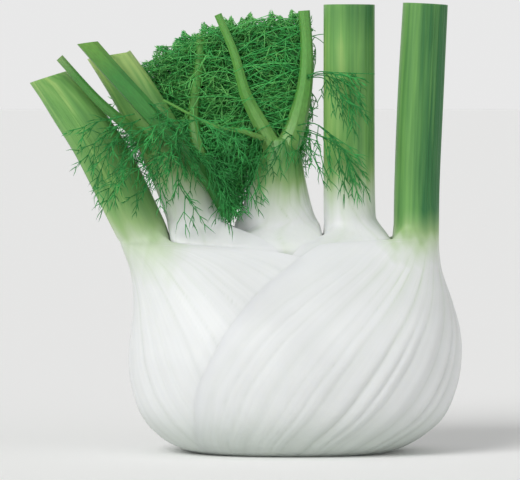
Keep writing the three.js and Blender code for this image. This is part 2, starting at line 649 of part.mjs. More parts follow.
// A tapered rod with flat ends along a row of places.
function rod( places, fromRadius, toRadius, sides ) {

	const last = places.length - 1;
	const sections = places.map( ( place, i ) => {

		const ahead = places[ Math.min( last, i + 1 ) ].clone().sub( places[ Math.max( 0, i - 1 ) ] ).normalize();
		const side = Math.abs( ahead.z ) > 0.9 ? new THREE.Vector3( 1, 0, 0 ) : new THREE.Vector3( 0, 0, 1 );
		const first = side.cross( ahead ).normalize();
		const second = ahead.clone().cross( first );
		const radius = mix( fromRadius, toRadius, i / last );
		return Array.from( { length: sides }, ( _, n ) => {

			const turn = 2 * Math.PI * n / sides;
			return place.clone().addScaledVector( first, radius * Math.cos( turn ) )
				.addScaledVector( second, radius * Math.sin( turn ) );

		} );

	} );
	return solidOf( new LoftGeometry( sections, { capStart: true, capEnd: true } ) );

}

// A smooth row of places through the ones given.
function smoothPath( places, steps ) {

	return new THREE.CatmullRomCurve3( places.map( vector ), false, 'centripetal' ).getPoints( steps );

}

// A spray: a slim midrib along a path, with whorls of threads drawn out of its sides as far as they
// run clear. others: threads of the fronds grown before. threads: those of this frond so far.
function growSpray( path, random, others, threads ) {

	const clear = ( from, to, radius, room, own ) => {

		for ( let i = 1; i <= THREAD_PROBES; i ++ ) {

			const place = from.clone().lerp( to, i / THREAD_PROBES );
			if ( blocked( place, radius + CLEARANCE ) ) return false;

		}

		return others.every( ( o ) => apart( from, to, o.from, o.to ) > radius + o.radius + CLEARANCE )
			&& own.every( ( o ) => apart( from, to, o.from, o.to ) > radius + o.radius + room );

	};

	// the midrib runs on until something stops it
	let reach = 1;
	while ( reach < path.length && clear( path[ reach - 1 ], path[ reach ], SPRAY.midrib, 0, [] ) ) reach ++;
	const midrib = new THREE.CurvePath();
	for ( let i = 1; i < reach; i ++ ) midrib.add( new THREE.LineCurve3( path[ i - 1 ], path[ i ] ) );
	const total = midrib.curves.length ? midrib.getLength() : 0;
	const whorls = Math.floor( ( total - SPRAY.first ) / SPRAY.every );
	if ( whorls < 2 ) return [];
	const earlier = threads.slice();
	for ( let i = 1; i < reach; i ++ ) {

		threads.push( { from: path[ i - 1 ], to: path[ i ], radius: SPRAY.midrib } );

	}

	// rings of three places round the midrib, a pair of rings for each whorl
	const places = [];
	const faces = [];
	const turned = random() * 2 * Math.PI;
	let before = null;
	const ringAt = ( length, turn, radius ) => {

		const middle = midrib.getPointAt( Math.min( 1, length / total ) );
		const ahead = midrib.getTangentAt( clamp( length / total, 0.001, 0.999 ) );
		const side = Math.abs( ahead.z ) > 0.95 ? new THREE.Vector3( 1, 0, 0 ) : new THREE.Vector3( 0, 0, 1 );
		const first = before ? before.clone().addScaledVector( ahead, - before.dot( ahead ) ) : side.cross( ahead );
		first.normalize();
		before = first;
		const second = ahead.clone().cross( first );
		const start = places.length;
		for ( let n = 0; n < 3; n ++ ) {

			const angle = turned + turn + 2 * Math.PI * n / 3;
			places.push( middle.clone().addScaledVector( first, radius * Math.cos( angle ) )
				.addScaledVector( second, radius * Math.sin( angle ) ) );

		}

		return { start, middle, ahead };

	};

	const join = ( low, high, n ) => {

		const next = ( n + 1 ) % 3;
		faces.push( [ low + n, low + next, high + n ], [ low + next, high + next, high + n ] );

	};

	let last = ringAt( 0, 0, SPRAY.midrib );
	faces.push( [ last.start + 2, last.start + 1, last.start ] );
	for ( let k = 0; k < whorls; k ++ ) {

		const at = SPRAY.first + k * SPRAY.every;
		const radius = SPRAY.midrib * ( 1 - SPRAY.taper * k / whorls );
		const low = ringAt( at, ( k + 1 ) * Math.PI / 3, radius );
		for ( let n = 0; n < 3; n ++ ) join( last.start, low.start, n );
		const high = ringAt( at + SPRAY.base, ( k + 1 ) * Math.PI / 3, radius * 0.95 );
		for ( let n = 0; n < 3; n ++ ) {

			const corners = [ low.start + n, low.start + ( n + 1 ) % 3, high.start + ( n + 1 ) % 3, high.start + n ];
			const root = corners.reduce( ( sum, c ) => sum.add( places[ c ] ), new THREE.Vector3() ).divideScalar( 4 );
			const out = root.clone().sub( low.middle ).addScaledVector( low.ahead, - SPRAY.base / 2 ).normalize();
			const splay = THREE.MathUtils.degToRad( mix( ...THREAD.splay, random() ) );
			const size = THREAD.length * ( 1 - THREAD.taper * k / whorls ) * mix( 0.75, 1.25, random() );
			const way = out.multiplyScalar( Math.sin( splay ) ).addScaledVector( low.ahead, Math.cos( splay ) );
			let tip = null;
			for ( const share of THREAD.shares ) {

				tip = root.clone().addScaledVector( way, size * share );
				const below = tip.z <= trimHeight( tip.x );
				const from = root.clone().lerp( tip, THREAD.sunk );
				if ( below && clear( from, tip, THREAD.radius, THREAD.room, earlier ) ) break;
				tip = null;

			}

			if ( tip === null ) {

				join( low.start, high.start, n );
				continue;

			}

			threads.push( { from: root, to: tip, radius: THREAD.radius } );
			const apex = places.push( tip ) - 1;
			corners.forEach( ( corner, i ) => faces.push( [ corner, corners[ ( i + 1 ) % 4 ], apex ] ) );

		}

		last = high;

	}

	const end = places.push( midrib.getPointAt( 1 ) ) - 1;
	for ( let n = 0; n < 3; n ++ ) faces.push( [ last.start + n, last.start + ( n + 1 ) % 3, end ] );
	return [ new wasm.Manifold( new wasm.Mesh( {
		numProp: 3,
		vertProperties: new Float32Array( places.flatMap( ( place ) => place.toArray() ) ),
		triVerts: new Uint32Array( faces.flat() ),
	} ) ) ];

}

// The foot of the heart leaf's fork, on top of its pale stalk.
function forkFoot() {

	const heart = LEAVES[ LEAVES.length - 1 ];
	const heights = [ FORK_FOOT + CLEARANCE, FORK_FOOT + 3, FORK_FOOT + 6.5 ];
	const sections = heights.map( ( z ) => stalkLoop( heart, z, 0 ) );
	return new LoftGeometry( sections, { capStart: true, capEnd: true } );

}

const stemPath = ( stem ) => smoothPath( stem.line, stem.line.length * 2 );

const stemSolid = ( stem ) => rod( stemPath( stem ), stem.from, stem.to, stem.sides );

function stemThreads( stems ) {

	return stems.flatMap( ( stem ) => {

		const path = stemPath( stem );
		return path.slice( 1 ).map( ( place, i ) => ( { from: path[ i ], to: place, radius: stem.from } ) );

	} );

}

// All the solids of one frond: its stems, the sprays set round them in turn, and the trailing sprays.
function growFrond( frond, others ) {

	const random = seeded( frond.seed );
	const threads = stemThreads( frond.stems );
	const solids = frond.foot ? [ solidOf( forkFoot() ) ] : [];
	let turn = frond.seed;
	for ( const stem of frond.stems ) {

		const path = stemPath( stem );
		solids.push( stemSolid( stem ) );
		for ( let i = 0; i < stem.sprays; i ++ ) {

			const share = mix( stem.low, 0.98, ( i + 0.5 ) / stem.sprays );
			const place = share * ( path.length - 1 );
			const at = Math.min( path.length - 2, Math.floor( place ) );
			const root = path[ at ].clone().lerp( path[ at + 1 ], place - at );
			turn += GOLDEN_TURN;
			const rise = mix( 0.1, 0.9, random() ); // from almost level to steep
			const out = new THREE.Vector3( Math.cos( turn ), Math.sin( turn ), rise ).normalize();
			const length = SPRAY.length * mix( 0.75, 1.15, random() );
			const places = [ 0, 1 / 3, 2 / 3, 1 ].map( ( far ) => {

				const spot = root.clone().addScaledVector( out, length * far );
				spot.z = Math.min( spot.z - SPRAY.droop * far * far * length, trimHeight( spot.x ) - 1 );
				return spot.toArray();

			} );
			solids.push( ...growSpray( smoothPath( places, SPRAY.steps ), random, others, threads ) );

		}

	}

	for ( const places of frond.trailing ) {

		solids.push( ...growSpray( smoothPath( places, SPRAY.steps + 1 ), random, others, threads ) );

	}

	return { solids, threads };

}

// --- The bulb -----------------------------------------------------------------------------------

const group = new THREE.Group();
const taken = [];
for ( const leaf of LEAVES ) {

	let solid = solidOf( leafLoft( leaf ) );
	if ( leaf.branch ) solid = solid.add( stemSolid( leaf.branch ) );
	for ( const other of taken ) solid = solid.subtract( other );
	group.add( named( leaf.name, geometryOf( trimmed( solid ) ), leaf.color, WAXY ) );
	taken.push( solidOf( leafLoft( leaf, CLEARANCE ) ) );

}

const [ aroundRight, aroundLeft ] = taken;
const plate = solidOf( plateLoft() ).subtract( aroundRight ).subtract( aroundLeft );
group.add( named( 'root_plate', geometryOf( trimmed( plate ) ), PLATE_COLOR, DRY ) );

const grown = [];
for ( const frond of FRONDS ) {

	const stems = FRONDS.filter( ( other ) => other !== frond ).flatMap( ( other ) => other.stems );
	const branches = LEAVES.filter( ( leaf ) => leaf.branch ).map( ( leaf ) => leaf.branch );
	const { solids, threads } = growFrond( frond, [ ...grown, ...stemThreads( [ ...stems, ...branches ] ) ] );
	let solid = wasm.Manifold.union( solids );
	for ( const other of taken ) solid = solid.subtract( other );
	grown.push( ...threads );
	group.add( named( frond.name, geometryOf( trimmed( solid ) ), frond.color, SOFT ) );

}

export default group;
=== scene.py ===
import math

import bpy
import numpy as np
from bpy.props import FloatProperty, FloatVectorProperty, IntProperty, PointerProperty
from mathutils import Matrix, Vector


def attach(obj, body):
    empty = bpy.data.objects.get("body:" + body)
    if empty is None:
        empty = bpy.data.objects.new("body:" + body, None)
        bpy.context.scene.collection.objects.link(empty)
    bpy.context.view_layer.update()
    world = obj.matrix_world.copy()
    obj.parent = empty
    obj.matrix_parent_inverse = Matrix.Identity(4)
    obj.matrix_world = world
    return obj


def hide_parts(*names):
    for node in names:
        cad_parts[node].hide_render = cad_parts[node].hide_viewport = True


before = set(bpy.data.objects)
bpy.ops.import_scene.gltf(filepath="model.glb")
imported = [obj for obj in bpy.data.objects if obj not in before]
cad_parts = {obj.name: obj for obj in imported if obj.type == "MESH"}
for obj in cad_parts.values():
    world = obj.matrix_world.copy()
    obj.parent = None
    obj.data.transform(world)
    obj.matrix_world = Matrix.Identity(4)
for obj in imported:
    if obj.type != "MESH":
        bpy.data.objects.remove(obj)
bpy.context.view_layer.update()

bl_info = {
    "name": "Fennel bulb",
    "version": (1, 0, 0),
    "blender": (4, 5, 0),
    "location": "3D View > Sidebar > Fennel",
    "description": "Models a trimmed Florence fennel bulb round its packed frame",
    "category": "Add Mesh",
}

# Lengths in the tables and formulas are millimetres, +Z up and the front towards -Y. Meshes are in metres.
MM = 0.001


def linear(hex_color):
    """An sRGB hex colour as linear red, green and blue."""
    values = [int(hex_color[i:i + 2], 16) / 255 for i in (1, 3, 5)]
    return tuple(v / 12.92 if v <= 0.04045 else ((v + 0.055) / 1.055) ** 2.4 for v in values)


# --- Sizes of the bulb and its leaves -------------------------------------------------------------------

# Outline of the bulb: height, half-width to the right and to the left, half-depth, squareness.
BULB = [
    (0, 31.5, 31.5, 21.5, 2.2), (1.5, 37, 37, 25, 2.2), (4.5, 43, 42.8, 28.8, 2.2),
    (11, 50.8, 49.2, 33.4, 2.2), (20, 55.2, 52.8, 36.4, 2.2), (30, 57.1, 54.2, 37.4, 2.2),
    (40, 56.7, 53.4, 35.6, 2.3), (50, 54, 52.5, 30.6, 2.5), (60, 50.5, 53.5, 23, 2.8),
    (67, 49.4, 55.9, 17, 3), (74, 49.3, 58.7, 12, 3.2), (80, 49.4, 62.4, 10, 3.2),
]
FAR = 1000.0  # further than anything here reaches
LAYER_GAP = 0.06  # between one sheath and the next where their edges show
DEEP_GAP = 1.5  # and further in and lower down
GAP_NARROWS = (58, 70)  # heights between which the deep gap narrows to the other
EDGE = 0.16  # thickness of a sheath at its free margins
INNER_FOOT = 6.4  # the inner sheaths stand on the root plate
PLATE_HEIGHTS = (0, 1.5, 3, 4.5, 6)
PLATE_SIDES = 180
PLATE_SHARES = (0.0, 0.25, 0.5, 0.75, 0.94)  # rings of its flat faces, as shares of their rim
PLATE_GAP = 0.15  # the root plate all but fills the foot of the outer sheaths
STALK_WRAP = 112  # degrees from the back of a stalk to where its inner face starts
STALK_CHANNEL = 0.08  # share by which a stalk's inner face is flattened
STALK_HALF = 7  # half the thickness of a stalk, roughly
LEAN_STEP = 0.5  # height over which a stalk's lean is measured
# How softly a layer rounds where the backs of the leaves outside it stop it, and a back's own inner face.
OUTSIDE_CORNER, INSIDE_CORNER = 3.2, 1.4
MARGIN_STEP = 0.1  # turn, in radians, within which the layer below a margin comes up to the outside
MOST_GROOVE = 0.4  # how deep a groove may go, as a share of the sheath's thickness
INSIDE_REACH = 0.985  # how near the margins the columns inside a sheath come

# How the ribs run, by height: towards the foot they gather away from the leaf's own side, and under the
# stalk they fan out from its base. 1 is evenly spaced.
RIB_FOOT = [(0, 1.5), (4, 1.42), (10, 1.3), (18, 1.16), (30, 1.05), (45, 1)]
RIB_FAN = [(15, 1), (30, 1.05), (42, 1.2), (52, 1.5), (61, 1.95), (69, 2.35), (75, 1.9), (83, 1)]
COLUMN_FAN = 1.5  # how much closer together the mesh's columns are at a leaf's back than if even
ARC_STEPS = 96  # chords that half of the bulb's outline is measured in
# Spans of height and the step between loops in each: closest where the skin bends most.
OUTER_SPANS = [(0, 6, 0.5), (6, 54, 1.2), (54, 84, 0.6), (84, 150, 2.4)]
INNER_SPANS = [(INNER_FOOT, 54, 4), (54, 84, 0.7), (84, 150, 2.2)]
LAST_STEP = 0.8  # least height between a leaf's last two loops

# Grooves between the ribs.
GROOVE_STRAY = ((0.25, 1.9), (0.1, 4.3))  # how far they stray from even spacing, and how often
WEAKEST_GROOVE = 0.35  # where the strongest is 1
FINE_SHAPE, BROAD_SHAPE, LINE_SHAPE = 0.35, 0.85, 0.3  # the lower, the sharper
BROAD_HEIGHTS, BROAD_ACROSS = (56, 24), (0.32, 0.7)  # where the broad ones fade, upwards and across
BROAD_LEAST = 0.15  # what is left of them at the margins
LINE_SHARE = 0.25  # depth of the light lines between, as a share of the fine ones
STALK_LINES = 1.5  # how much deeper the fine ones are on a stalk
TURNING = ((58, 68), (90, 76))  # heights where the sheath starts and ends its turn into the stalk
FOOT_FADE, MARGIN_FADE = (-2.5, 3.5), (1.0, 0.97)  # where all of them fade, by height and across

# The cut end of a stalk.
CUT_SHARES = (0.97, 0.9, 0.8, 0.68, 0.54, 0.4, 0.26, 0.12, 0.0)  # its rings, as shares of the rim
PITH_SINK = 0.9  # how far the pith has drawn in
FORK_DOME = 1.5  # how high the heart leaf's end stands where it forks
CUT_SPAN = 30  # a cut end lies within this much of its leaf's top

GREEN_FALL = 1.3  # how much higher the sheath turns green for each millimetre beside its stalk's foot
FIBRE_STRETCH = 0.04  # the fibres' pattern is drawn out 25 times along a stalk
MERGE_DISTANCE = 1e-7  # in metres, for the seam of a piece
SMOOTH_ANGLE = 40  # in degrees: only edges sharper than this look sharp

# Leaves from the outermost in, as in the frame. side: 1 where a leaf's back is at the right, -1 at the left.
# foot and top: the heights it runs between. ribs: how many from its back to a margin. low: how bold its broad
# grooves are. columns and inside: columns of the mesh over its outside and its inside. front and back: the
# sheath's free margins, how far across they run, by height. inner: how far in the fleshy back reaches. flesh:
# thickness of the rest. stalk: height, middle, half-width and half-depth. close: heights between which the
# sheath closes into the stalk. cut: how far the cut is off square, in degrees. green: heights where the skin
# starts to turn green and is fully green. tone: how deep the green is on the stalk's left, on its right and
# at its cut end, where -0.8 is young green, 0 light green and 1 deep green. settled: how far the ribs sink
# where the sheath turns into the stalk. solid: the heart leaf is filled, and has no cut end.
# The rise in tone from a stalk's left to its right is painted shade, as from the key light at the upper left.
LEAVES = {
    "leaf_outer_right": dict(
        side=1, foot=0, top=149.3, ribs=14, cut=0, close=(69.5, 76.5), columns=320, inside=40, low=1.0,
        front=[(0, -27), (5, -31.3), (14, -31.7), (22, -31), (32, -26.7), (41, -21.7), (53, -12.3), (62, -2),
               (67, 5), (69.6, 9.6), (70.4, 14), (70.8, 24), (71.2, 32), (74, 34), (80, 38)],
        back=[(0, -22), (8, -27), (20, -29), (34, -24), (46, -15), (57, -4), (65, 6), (68.5, 12), (70, 18),
              (70.6, 26), (71.2, 33), (74, 35), (80, 38)],
        inner=[(0, 27.4), (4.5, 37), (11, 44.4), (20, 48.6), (30, 49.8), (40, 48.9), (50, 45), (60, 39),
               (67, 34.8), (74, 33.6), (80, 33.8)],
        flesh=[(0, 3.6), (10, 4.6), (30, 5.4), (50, 4.6), (62, 2.8), (70, 1.5), (80, 1.2)],
        stalk=[(70, 41.4, 7.9, 8.6), (90, 41.7, 7.9, 8.2), (120, 42.9, 8, 8), (149.3, 44.4, 7.8, 7.8)],
        green=(62, 82), tone=(0.12, 0.95, 0.5), settled=0.8),
    "leaf_outer_left": dict(
        side=-1, foot=0, top=125, ribs=14, cut=21, close=(68, 76), columns=320, inside=40, low=0.28,
        front=[(0, 16), (8, 24), (20, 29), (36, 28), (50, 22), (60, 14), (65, 5), (67.3, -5), (68.8, -18),
               (69.5, -30), (70, -38), (73, -41.2), (80, -48)],
        back=[(0, 12), (8, 20), (20, 25), (36, 23), (50, 16), (60, 7), (65, -2), (67.3, -11), (68.8, -23),
              (69.5, -33), (70, -39), (73, -42), (80, -48)],
        inner=[(0, -27.2), (4.5, -36), (11, -42.6), (20, -46.2), (30, -47.2), (40, -46), (50, -43.6),
               (60, -41.2), (67, -39.8), (74, -41), (80, -43.6)],
        flesh=[(0, 3.4), (10, 4.4), (30, 5), (50, 4.2), (62, 2.6), (70, 1.5), (80, 1.2)],
        stalk=[(70, -47.6, 8.6, 9), (81, -53, 8.8, 8.8), (92.7, -58.7, 8.9, 8.5), (104, -65, 8.5, 8),
               (115, -72.7, 7.8, 7.4), (125, -80.7, 6.2, 6.6)],
        green=(56, 90), tone=(0.0, 0.3, -0.1), settled=0.8),
    "leaf_centre_right": dict(
        side=1, foot=INNER_FOOT, top=149, ribs=8, cut=0, close=(69, 78), columns=144, inside=24, low=0,
        front=[(6, -14), (20, -18), (40, -16), (56, -8), (66, 0), (72, 6), (80, 12)],
        back=[(6, -12), (20, -15), (40, -13), (56, -5), (66, 2), (72, 7), (80, 12)],
        inner=[(6, 28), (11, 33), (20, 37), (30, 38), (40, 36), (50, 29), (60, 19), (67, 12.5), (74, 10.2),
               (80, 10.2)],
        flesh=[(6, 3.4), (14, 4), (30, 4.4), (50, 3.4), (62, 2), (70, 1.3), (80, 1.2)],
        stalk=[(70, 20, 9.4, 9.4), (80, 19.2, 9, 9), (110, 19, 8.9, 8.6), (149, 19, 8.9, 8.4)],
        green=(77, 102), tone=(-0.25, 0.3, 0.4), settled=0.4),
    "leaf_middle_left": dict(
        side=-1, foot=INNER_FOOT, top=132.2, ribs=8, cut=24, close=(71, 81), columns=144, inside=24, low=0,
        front=[(6, 10), (20, 14), (40, 11), (56, 5), (66, -3), (72, -10), (78, -18), (84, -24)],
        back=[(6, 8), (20, 11), (40, 9), (56, 3), (66, -5), (72, -12), (78, -19), (84, -24)],
        inner=[(6, -26), (11, -30), (20, -34), (30, -35.4), (40, -33.6), (50, -29), (60, -23.6), (67, -20.6),
               (74, -20.2), (80, -22)],
        flesh=[(6, 3), (14, 3.6), (30, 4), (50, 3), (62, 1.8), (70, 1.2), (80, 1.2)],
        stalk=[(70, -29.8, 9.2, 9.2), (81, -33, 9.1, 8.6), (100, -41, 8.5, 7.6), (119, -51.6, 7.7, 7),
               (132.2, -60.3, 7, 6.6)],
        green=(76, 104), tone=(-0.1, 0.25, -0.6), settled=0.4),
    "leaf_middle": dict(
        side=1, foot=INNER_FOOT, top=103.5, ribs=8, cut=0, close=(70, 78), columns=144, inside=16, low=0,
        solid=True,
        front=[(0, -60), (80, -60)], back=[(0, -60), (80, -60)], inner=[(0, 0), (80, 0)],
        flesh=[(0, 1), (80, 1)],
        stalk=[(70, -4.6, 15.2, 9.4), (76, -5.1, 14.5, 9), (82, -4.8, 12, 8.4), (92, -4, 8.8, 7.2),
               (98, -3.6, 7.2, 6), (104, -3.6, 4.6, 4)],
        green=(77, 99), tone=(0.2, 0.4, 0.3), settled=0.4),
}
OUTERMOST_IN = list(LEAVES)

# The thin side stalk that branches off the middle left leaf: line, and half-thickness at both ends.
BRANCH = dict(line=[(-46.3, -4, 101), (-51.4, -7.5, 106.4), (-57.9, -8.6, 111.8), (-64, -9, 117.3),
                    (-76.6, -9.2, 131.3)], start=2.5, end=1.4)

# --- Sizes of the fronds --------------------------------------------------------------------------------

GOLDEN_TURN = math.pi * (3 - math.sqrt(5))
BULB_SHOULDER = 74  # height where the stalks stand clear of the bulb
TRIM = dict(top=147, half=48.7, fall=14, power=2.4, sink=1)  # the arc along which the fronds were trimmed
TRIM_JAGS = ((1.5, 0.83, 0.6), (1.1, 1.93, 2))  # height of its jags, how often they come, and their start
SHOULDER_SPAN = (60, 80)  # heights between which threads may meet the bulb
CURVE_STEPS = 16  # between two places of a line

# Stems: line, half-thickness at both ends, sprays, how far up they start and end, which way they point, how
# widely and how steeply, and where they stop in front and at the right. loose: its spray is thin and hangs.
# level: the share by which its cut end is level. dark: its skin is darker than the others'. Then sprays by
# the places that they run through. over: ones that reach over a gap. trailing: thin ones that hang in front.
# nest: ones low in front. inner: full ones in the gaps between the stalks.
FRONDS = {
    "frond_middle_left": dict(
        seed=11,
        stems=[
            dict(line=[(-22.5, -1, 79), (-25.5, -3, 88), (-32.5, -9.5, 98), (-42, -12.8, 108),
                       (-51, -12.8, 118), (-58.7, -12.4, 126.4), (-67.3, -11.6, 136.2)],
                 start=3.1, end=3, level=0.75, dark=True, sprays=1, low=0.3, high=0.5, aim=200, spread=70,
                 rise=(-0.6, 0.2), loose=True),
            dict(line=[(-25.5, -3, 88), (-30.5, 1, 100), (-32.6, 4, 112), (-30.6, 4, 130), (-30, 4, 139)],
                 start=2.4, end=1.6, sprays=18, low=0.2, high=0.98, aim=100, spread=110, rise=(-0.3, 0.95),
                 front=4),
        ],
        trailing=[
            [(-52, -13.5, 113), (-59, -15, 112), (-66, -14.5, 110), (-73, -13.5, 106)],
            [(-50, -13.5, 111), (-58, -15, 109), (-65, -14.5, 103), (-68, -13.5, 95)],
            [(-50, -13.5, 111), (-58, -15, 106), (-62, -14.5, 98), (-63, -13.5, 87)],
            [(-46, -13, 109), (-53, -14.5, 103), (-57, -14, 94), (-57, -13.5, 84)],
            [(-42, -12.8, 106), (-46, -14.5, 99), (-49, -14, 92), (-50, -13.5, 85)],
            [(-38, -12.8, 104), (-41, -14.5, 99), (-43, -14.5, 92), (-42, -14.5, 84)],
            [(-36, -12.5, 102), (-37, -14.5, 95), (-36, -14.5, 89), (-34, -14.5, 82)],
        ],
        nest=[
            [(-48, -13, 111), (-42, -15, 110), (-36, -15, 107), (-30, -14, 103)],
            [(-51, -13, 117), (-46, -16, 115), (-40, -16, 111), (-36, -15.5, 104)],
            [(-45, -13, 111), (-41, -16, 108), (-36, -16, 103), (-32, -15.5, 97)],
            [(-42, -13, 108), (-37, -15, 106), (-31, -15, 102), (-27, -14, 96)],
            [(-36, -12.5, 103), (-31, -14.5, 99), (-27, -14.5, 92), (-23, -13, 84)],
            [(-33, -11, 99), (-29, -13.5, 96), (-24, -13, 90), (-21, -12, 82)],
            [(-30, -8, 96), (-26, -11, 93), (-22, -12.5, 89), (-19.8, -13.5, 84)],
            [(-28, -7, 97), (-23, -10, 93), (-20.5, -12, 88), (-20, -13, 83)],
            [(-36, -12.5, 102), (-32, -14.5, 101), (-26, -14.5, 98), (-21, -13.5, 92)],
        ],
        inner=[
            [(-32, 4, 112), (-42, 11, 112), (-52, 13.5, 103), (-57, 13, 90)],
            [(-29, 1, 106), (-25, 3, 100), (-22, 3, 92), (-20, 2, 80)],
            [(-30, 2, 108), (-27, 4, 102), (-25, 4, 94), (-21, 4, 82)],
        ]),
    "frond_middle": dict(
        seed=5,
        stems=[
            dict(line=[(-1.9, 0, 100), (1.6, 0, 109), (4.6, -1, 122), (5.2, -1, 134), (4.3, -1, 147)],
                 start=4.2, end=1.95, sprays=16, low=0.15, high=0.98, aim=135, spread=65, rise=(-0.3, 0.95),
                 front=0, right=7.5),
            dict(line=[(-5.4, 0, 100), (-10, -2, 109), (-15, -3, 119), (-19, -4, 133), (-24.3, -4, 145.7)],
                 start=3.6, end=1.35, sprays=22, low=0.15, high=0.98, aim=90, spread=90, rise=(-0.3, 0.95),
                 front=2, right=7.5),
            dict(line=[(-8.5, -3, 104), (-16, -11, 107), (-25.3, -16.5, 108.8), (-42, -20, 117.3)],
                 start=1.1, end=0.45, sprays=1, low=0.3, high=0.98, aim=200, spread=150, rise=(-0.6, 0.3),
                 loose=True),
            dict(line=[(-9, 4, 104), (-17, 9, 108), (-25, 13, 112), (-36, 15, 121)],
                 start=1, end=0.7, sprays=10, low=0.15, high=0.98, aim=100, spread=130, rise=(-0.2, 0.7),
                 front=3, right=7.5),
        ],
        over=[
            [(4.6, -2, 125), (9, -10, 127), (16, -12, 127), (26, -10.5, 124)],
            [(4.6, -2, 125), (9, -10, 127), (15, -11.5, 125), (24, -11.5, 120)],
            [(4.6, -2, 125), (9, -10, 126), (13, -11.5, 123), (19, -12.5, 116)],
            [(4.6, -2, 124), (9, -10, 126), (16, -11.5, 124), (23, -12, 117)],
            [(1.6, -2, 109), (8, -11, 109.5), (14, -13.5, 106), (20, -13.5, 98)],
            [(1.6, -2, 107), (8, -11, 107), (14, -13.5, 102), (21, -13.5, 93)],
        ],
        trailing=[
            [(1.6, -2, 107), (4, -11, 104), (6, -13, 99), (8, -13.5, 92)],
            [(0, -2, 106), (-2, -11, 103), (-4, -13, 100), (-5, -14, 94)],
        ],
        nest=[
            [(-10, -2, 109), (-16, -8, 104), (-19, -11, 97), (-18, -12, 87)],
            [(-8, -3, 106), (-13, -9, 100), (-15, -12, 94), (-15, -13.5, 86)],
            [(-6, -3, 104), (-9, -10, 100), (-12, -13, 95), (-12, -14.5, 88)],
        ],
        inner=[
            [(-6, 3, 104), (-12, 9.5, 97), (-15, 13, 89), (-16, 14.5, 80)],
            [(-9, 3, 104), (-15, 4, 98), (-19, 4, 90), (-19.5, 3, 79)],
            [(-9, 3, 106), (-16, 2, 102), (-21, 1, 95), (-21, 1, 82)],
            [(-10, 4, 106), (-17, 6, 100), (-20, 6, 90), (-18, 7, 78)],
        ]),
}
# Side shoots along a spray, threads along each shoot and tines along each thread: where along it they
# stand, at what angles, and how long they are. Sprays in the mass of a frond are fuller than loose ones.
FULL = dict(
    shoots=dict(first=2.0, every=2.9, splay=(34, 62), taper=0.4, share=1.0, sag=0.15),
    threads=dict(places=(0.34, 0.62, 0.86), splay=(24, 48), share=0.6, taper=0.5),
    tines=dict(places=(0.42,), splay=(20, 38), share=0.62, taper=0.35),
)
LOOSE = dict(
    shoots=dict(first=3.0, every=4.8, splay=(20, 46), taper=0.3, share=0.68, sag=0.45),
    threads=dict(places=(0.4, 0.74), splay=(14, 34), share=0.55, taper=0.35),
)
# Sprays that reach over a gap are bare until they are across, and then hang down like a comb.
OVER = dict(
    shoots=dict(first=12.0, every=2.8, splay=(24, 50), taper=0.2, share=0.7, sag=0.8),
    threads=dict(places=(0.5, 0.78), splay=(12, 28), share=0.45, taper=0.35),
)
# Sprays by their places: their form, the tones of their threads and how often each is grown.
PLACED = (("over", OVER, (0.0, 0.12), 1), ("trailing", LOOSE, (0.0, 0.15), 1),
          ("nest", LOOSE, (0.0, 0.25), 1), ("inner", FULL, (0.15, 0.5), 2))
PLACED_RIGHT = 26.8  # how far to the right they may reach
PLACE_SCATTER = 0.9  # how far their places are moved at random, times the share of each
PLACE_SHARES = [[0.3], [0.8], [1.4], [1.8]]
FULL_TONES, LOOSE_TONES = (0.25, 1.0), (0.0, 0.3)  # from hanging threads' colour at 0 to the lightest
SPRAY_STEPS, PLACED_STEPS, STEM_STEPS = 8, 14, 40  # parts that their lines are measured in
SPRAY_SIZES, SHOOT_SIZES, THREAD_SIZES = (0.6, 1.15), (0.6, 1.3), (0.65, 1.3)  # shares of the usual length
SPRAY_DROOP = 0.24  # how far a spray hangs at its tip, as a share of its length
SPRAY_BOW = 0.16  # how far it bows to a side at most
SHOOT_TURN = 1.9  # how far each pair of shoots is turned from the last, in radians
SHOOT_BOW, THREAD_BOW = (0.09, 0.03), (0.08, 0.035)  # outwards, and at random
LEAST_SHOOT, LEAST_THREAD = 1.2, 0.8  # shorter ones are left out
TONE_SPREAD = 0.15  # between the shoots of a spray
MIDRIB_ROOM, SHOOT_ROOM, THREAD_ROOM = 0.7, 0.2, 0.1  # kept free round them
SHOOT_THICKNESS, TINE_THICKNESS = 1.1, 0.9  # in threads
BEND_PLACE, BEND_THICKNESS = 0.55, 0.9  # where along it a thread bends, and how thick it is there
MIDRIB_TAPER = (1.35, 0.85)  # thickness of a midrib at its root and tip, in threads
MIDRIB_TONE = 0.6  # of its spray's
# How deep the fronds are in front and behind: as far as where threads grow freely, and at most.
FREE_DEPTH, MOST_DEPTH = 20, 36
STEM_SIDES, STEM_RINGS, BRANCH_RINGS = 32, 48, 40
STEM_RIDGE = 0.07  # depth of a stem's eight ridges, as a share of its radius
STEM_TURNS = 4  # texture units round a stem
STEM_TIP = [(0.93, 0.0), (0.6, -0.05), (0.0, -0.1)]  # rings that close it: share of its radius, and sink
# Colours at the root, in the middle and at the cut tip of the dark leafy stem and of the side stalk.
DARK_STEM = ("#41863A", "#3D8238", "#689A40")
SIDE_STALK = ("#568F40", "#49883A", "#789F5E")

# --- The stage ------------------------------------------------------------------------------------------

# Lights: name, place in metres, setting for its strength, and softness in degrees. A big soft key stands at
# the upper left, and a weak fill at the right.
LIGHTS = (("key_light", (-0.62, -0.72, 0.78), "key_power", 34),
          ("fill_light", (0.85, -0.5, 0.3), "fill_power", 60))
VIEW_MIDDLE = (-10.33, 0, 70.67)  # what the camera and the lights look at
VIEW_WIDTH = 520 / 3  # of what the camera sees at the bulb
SENSOR_WIDTH = 36
FLOOR_SIZE = 60  # in metres, as is how far the camera sees


# --- Settings -------------------------------------------------------------------------------------------

def color_setting(name, description, shade):
    """A colour that a user may change, from its sRGB hex value."""
    return FloatVectorProperty(name=name, description=description, default=linear(shade), size=3,
                               subtype="COLOR")


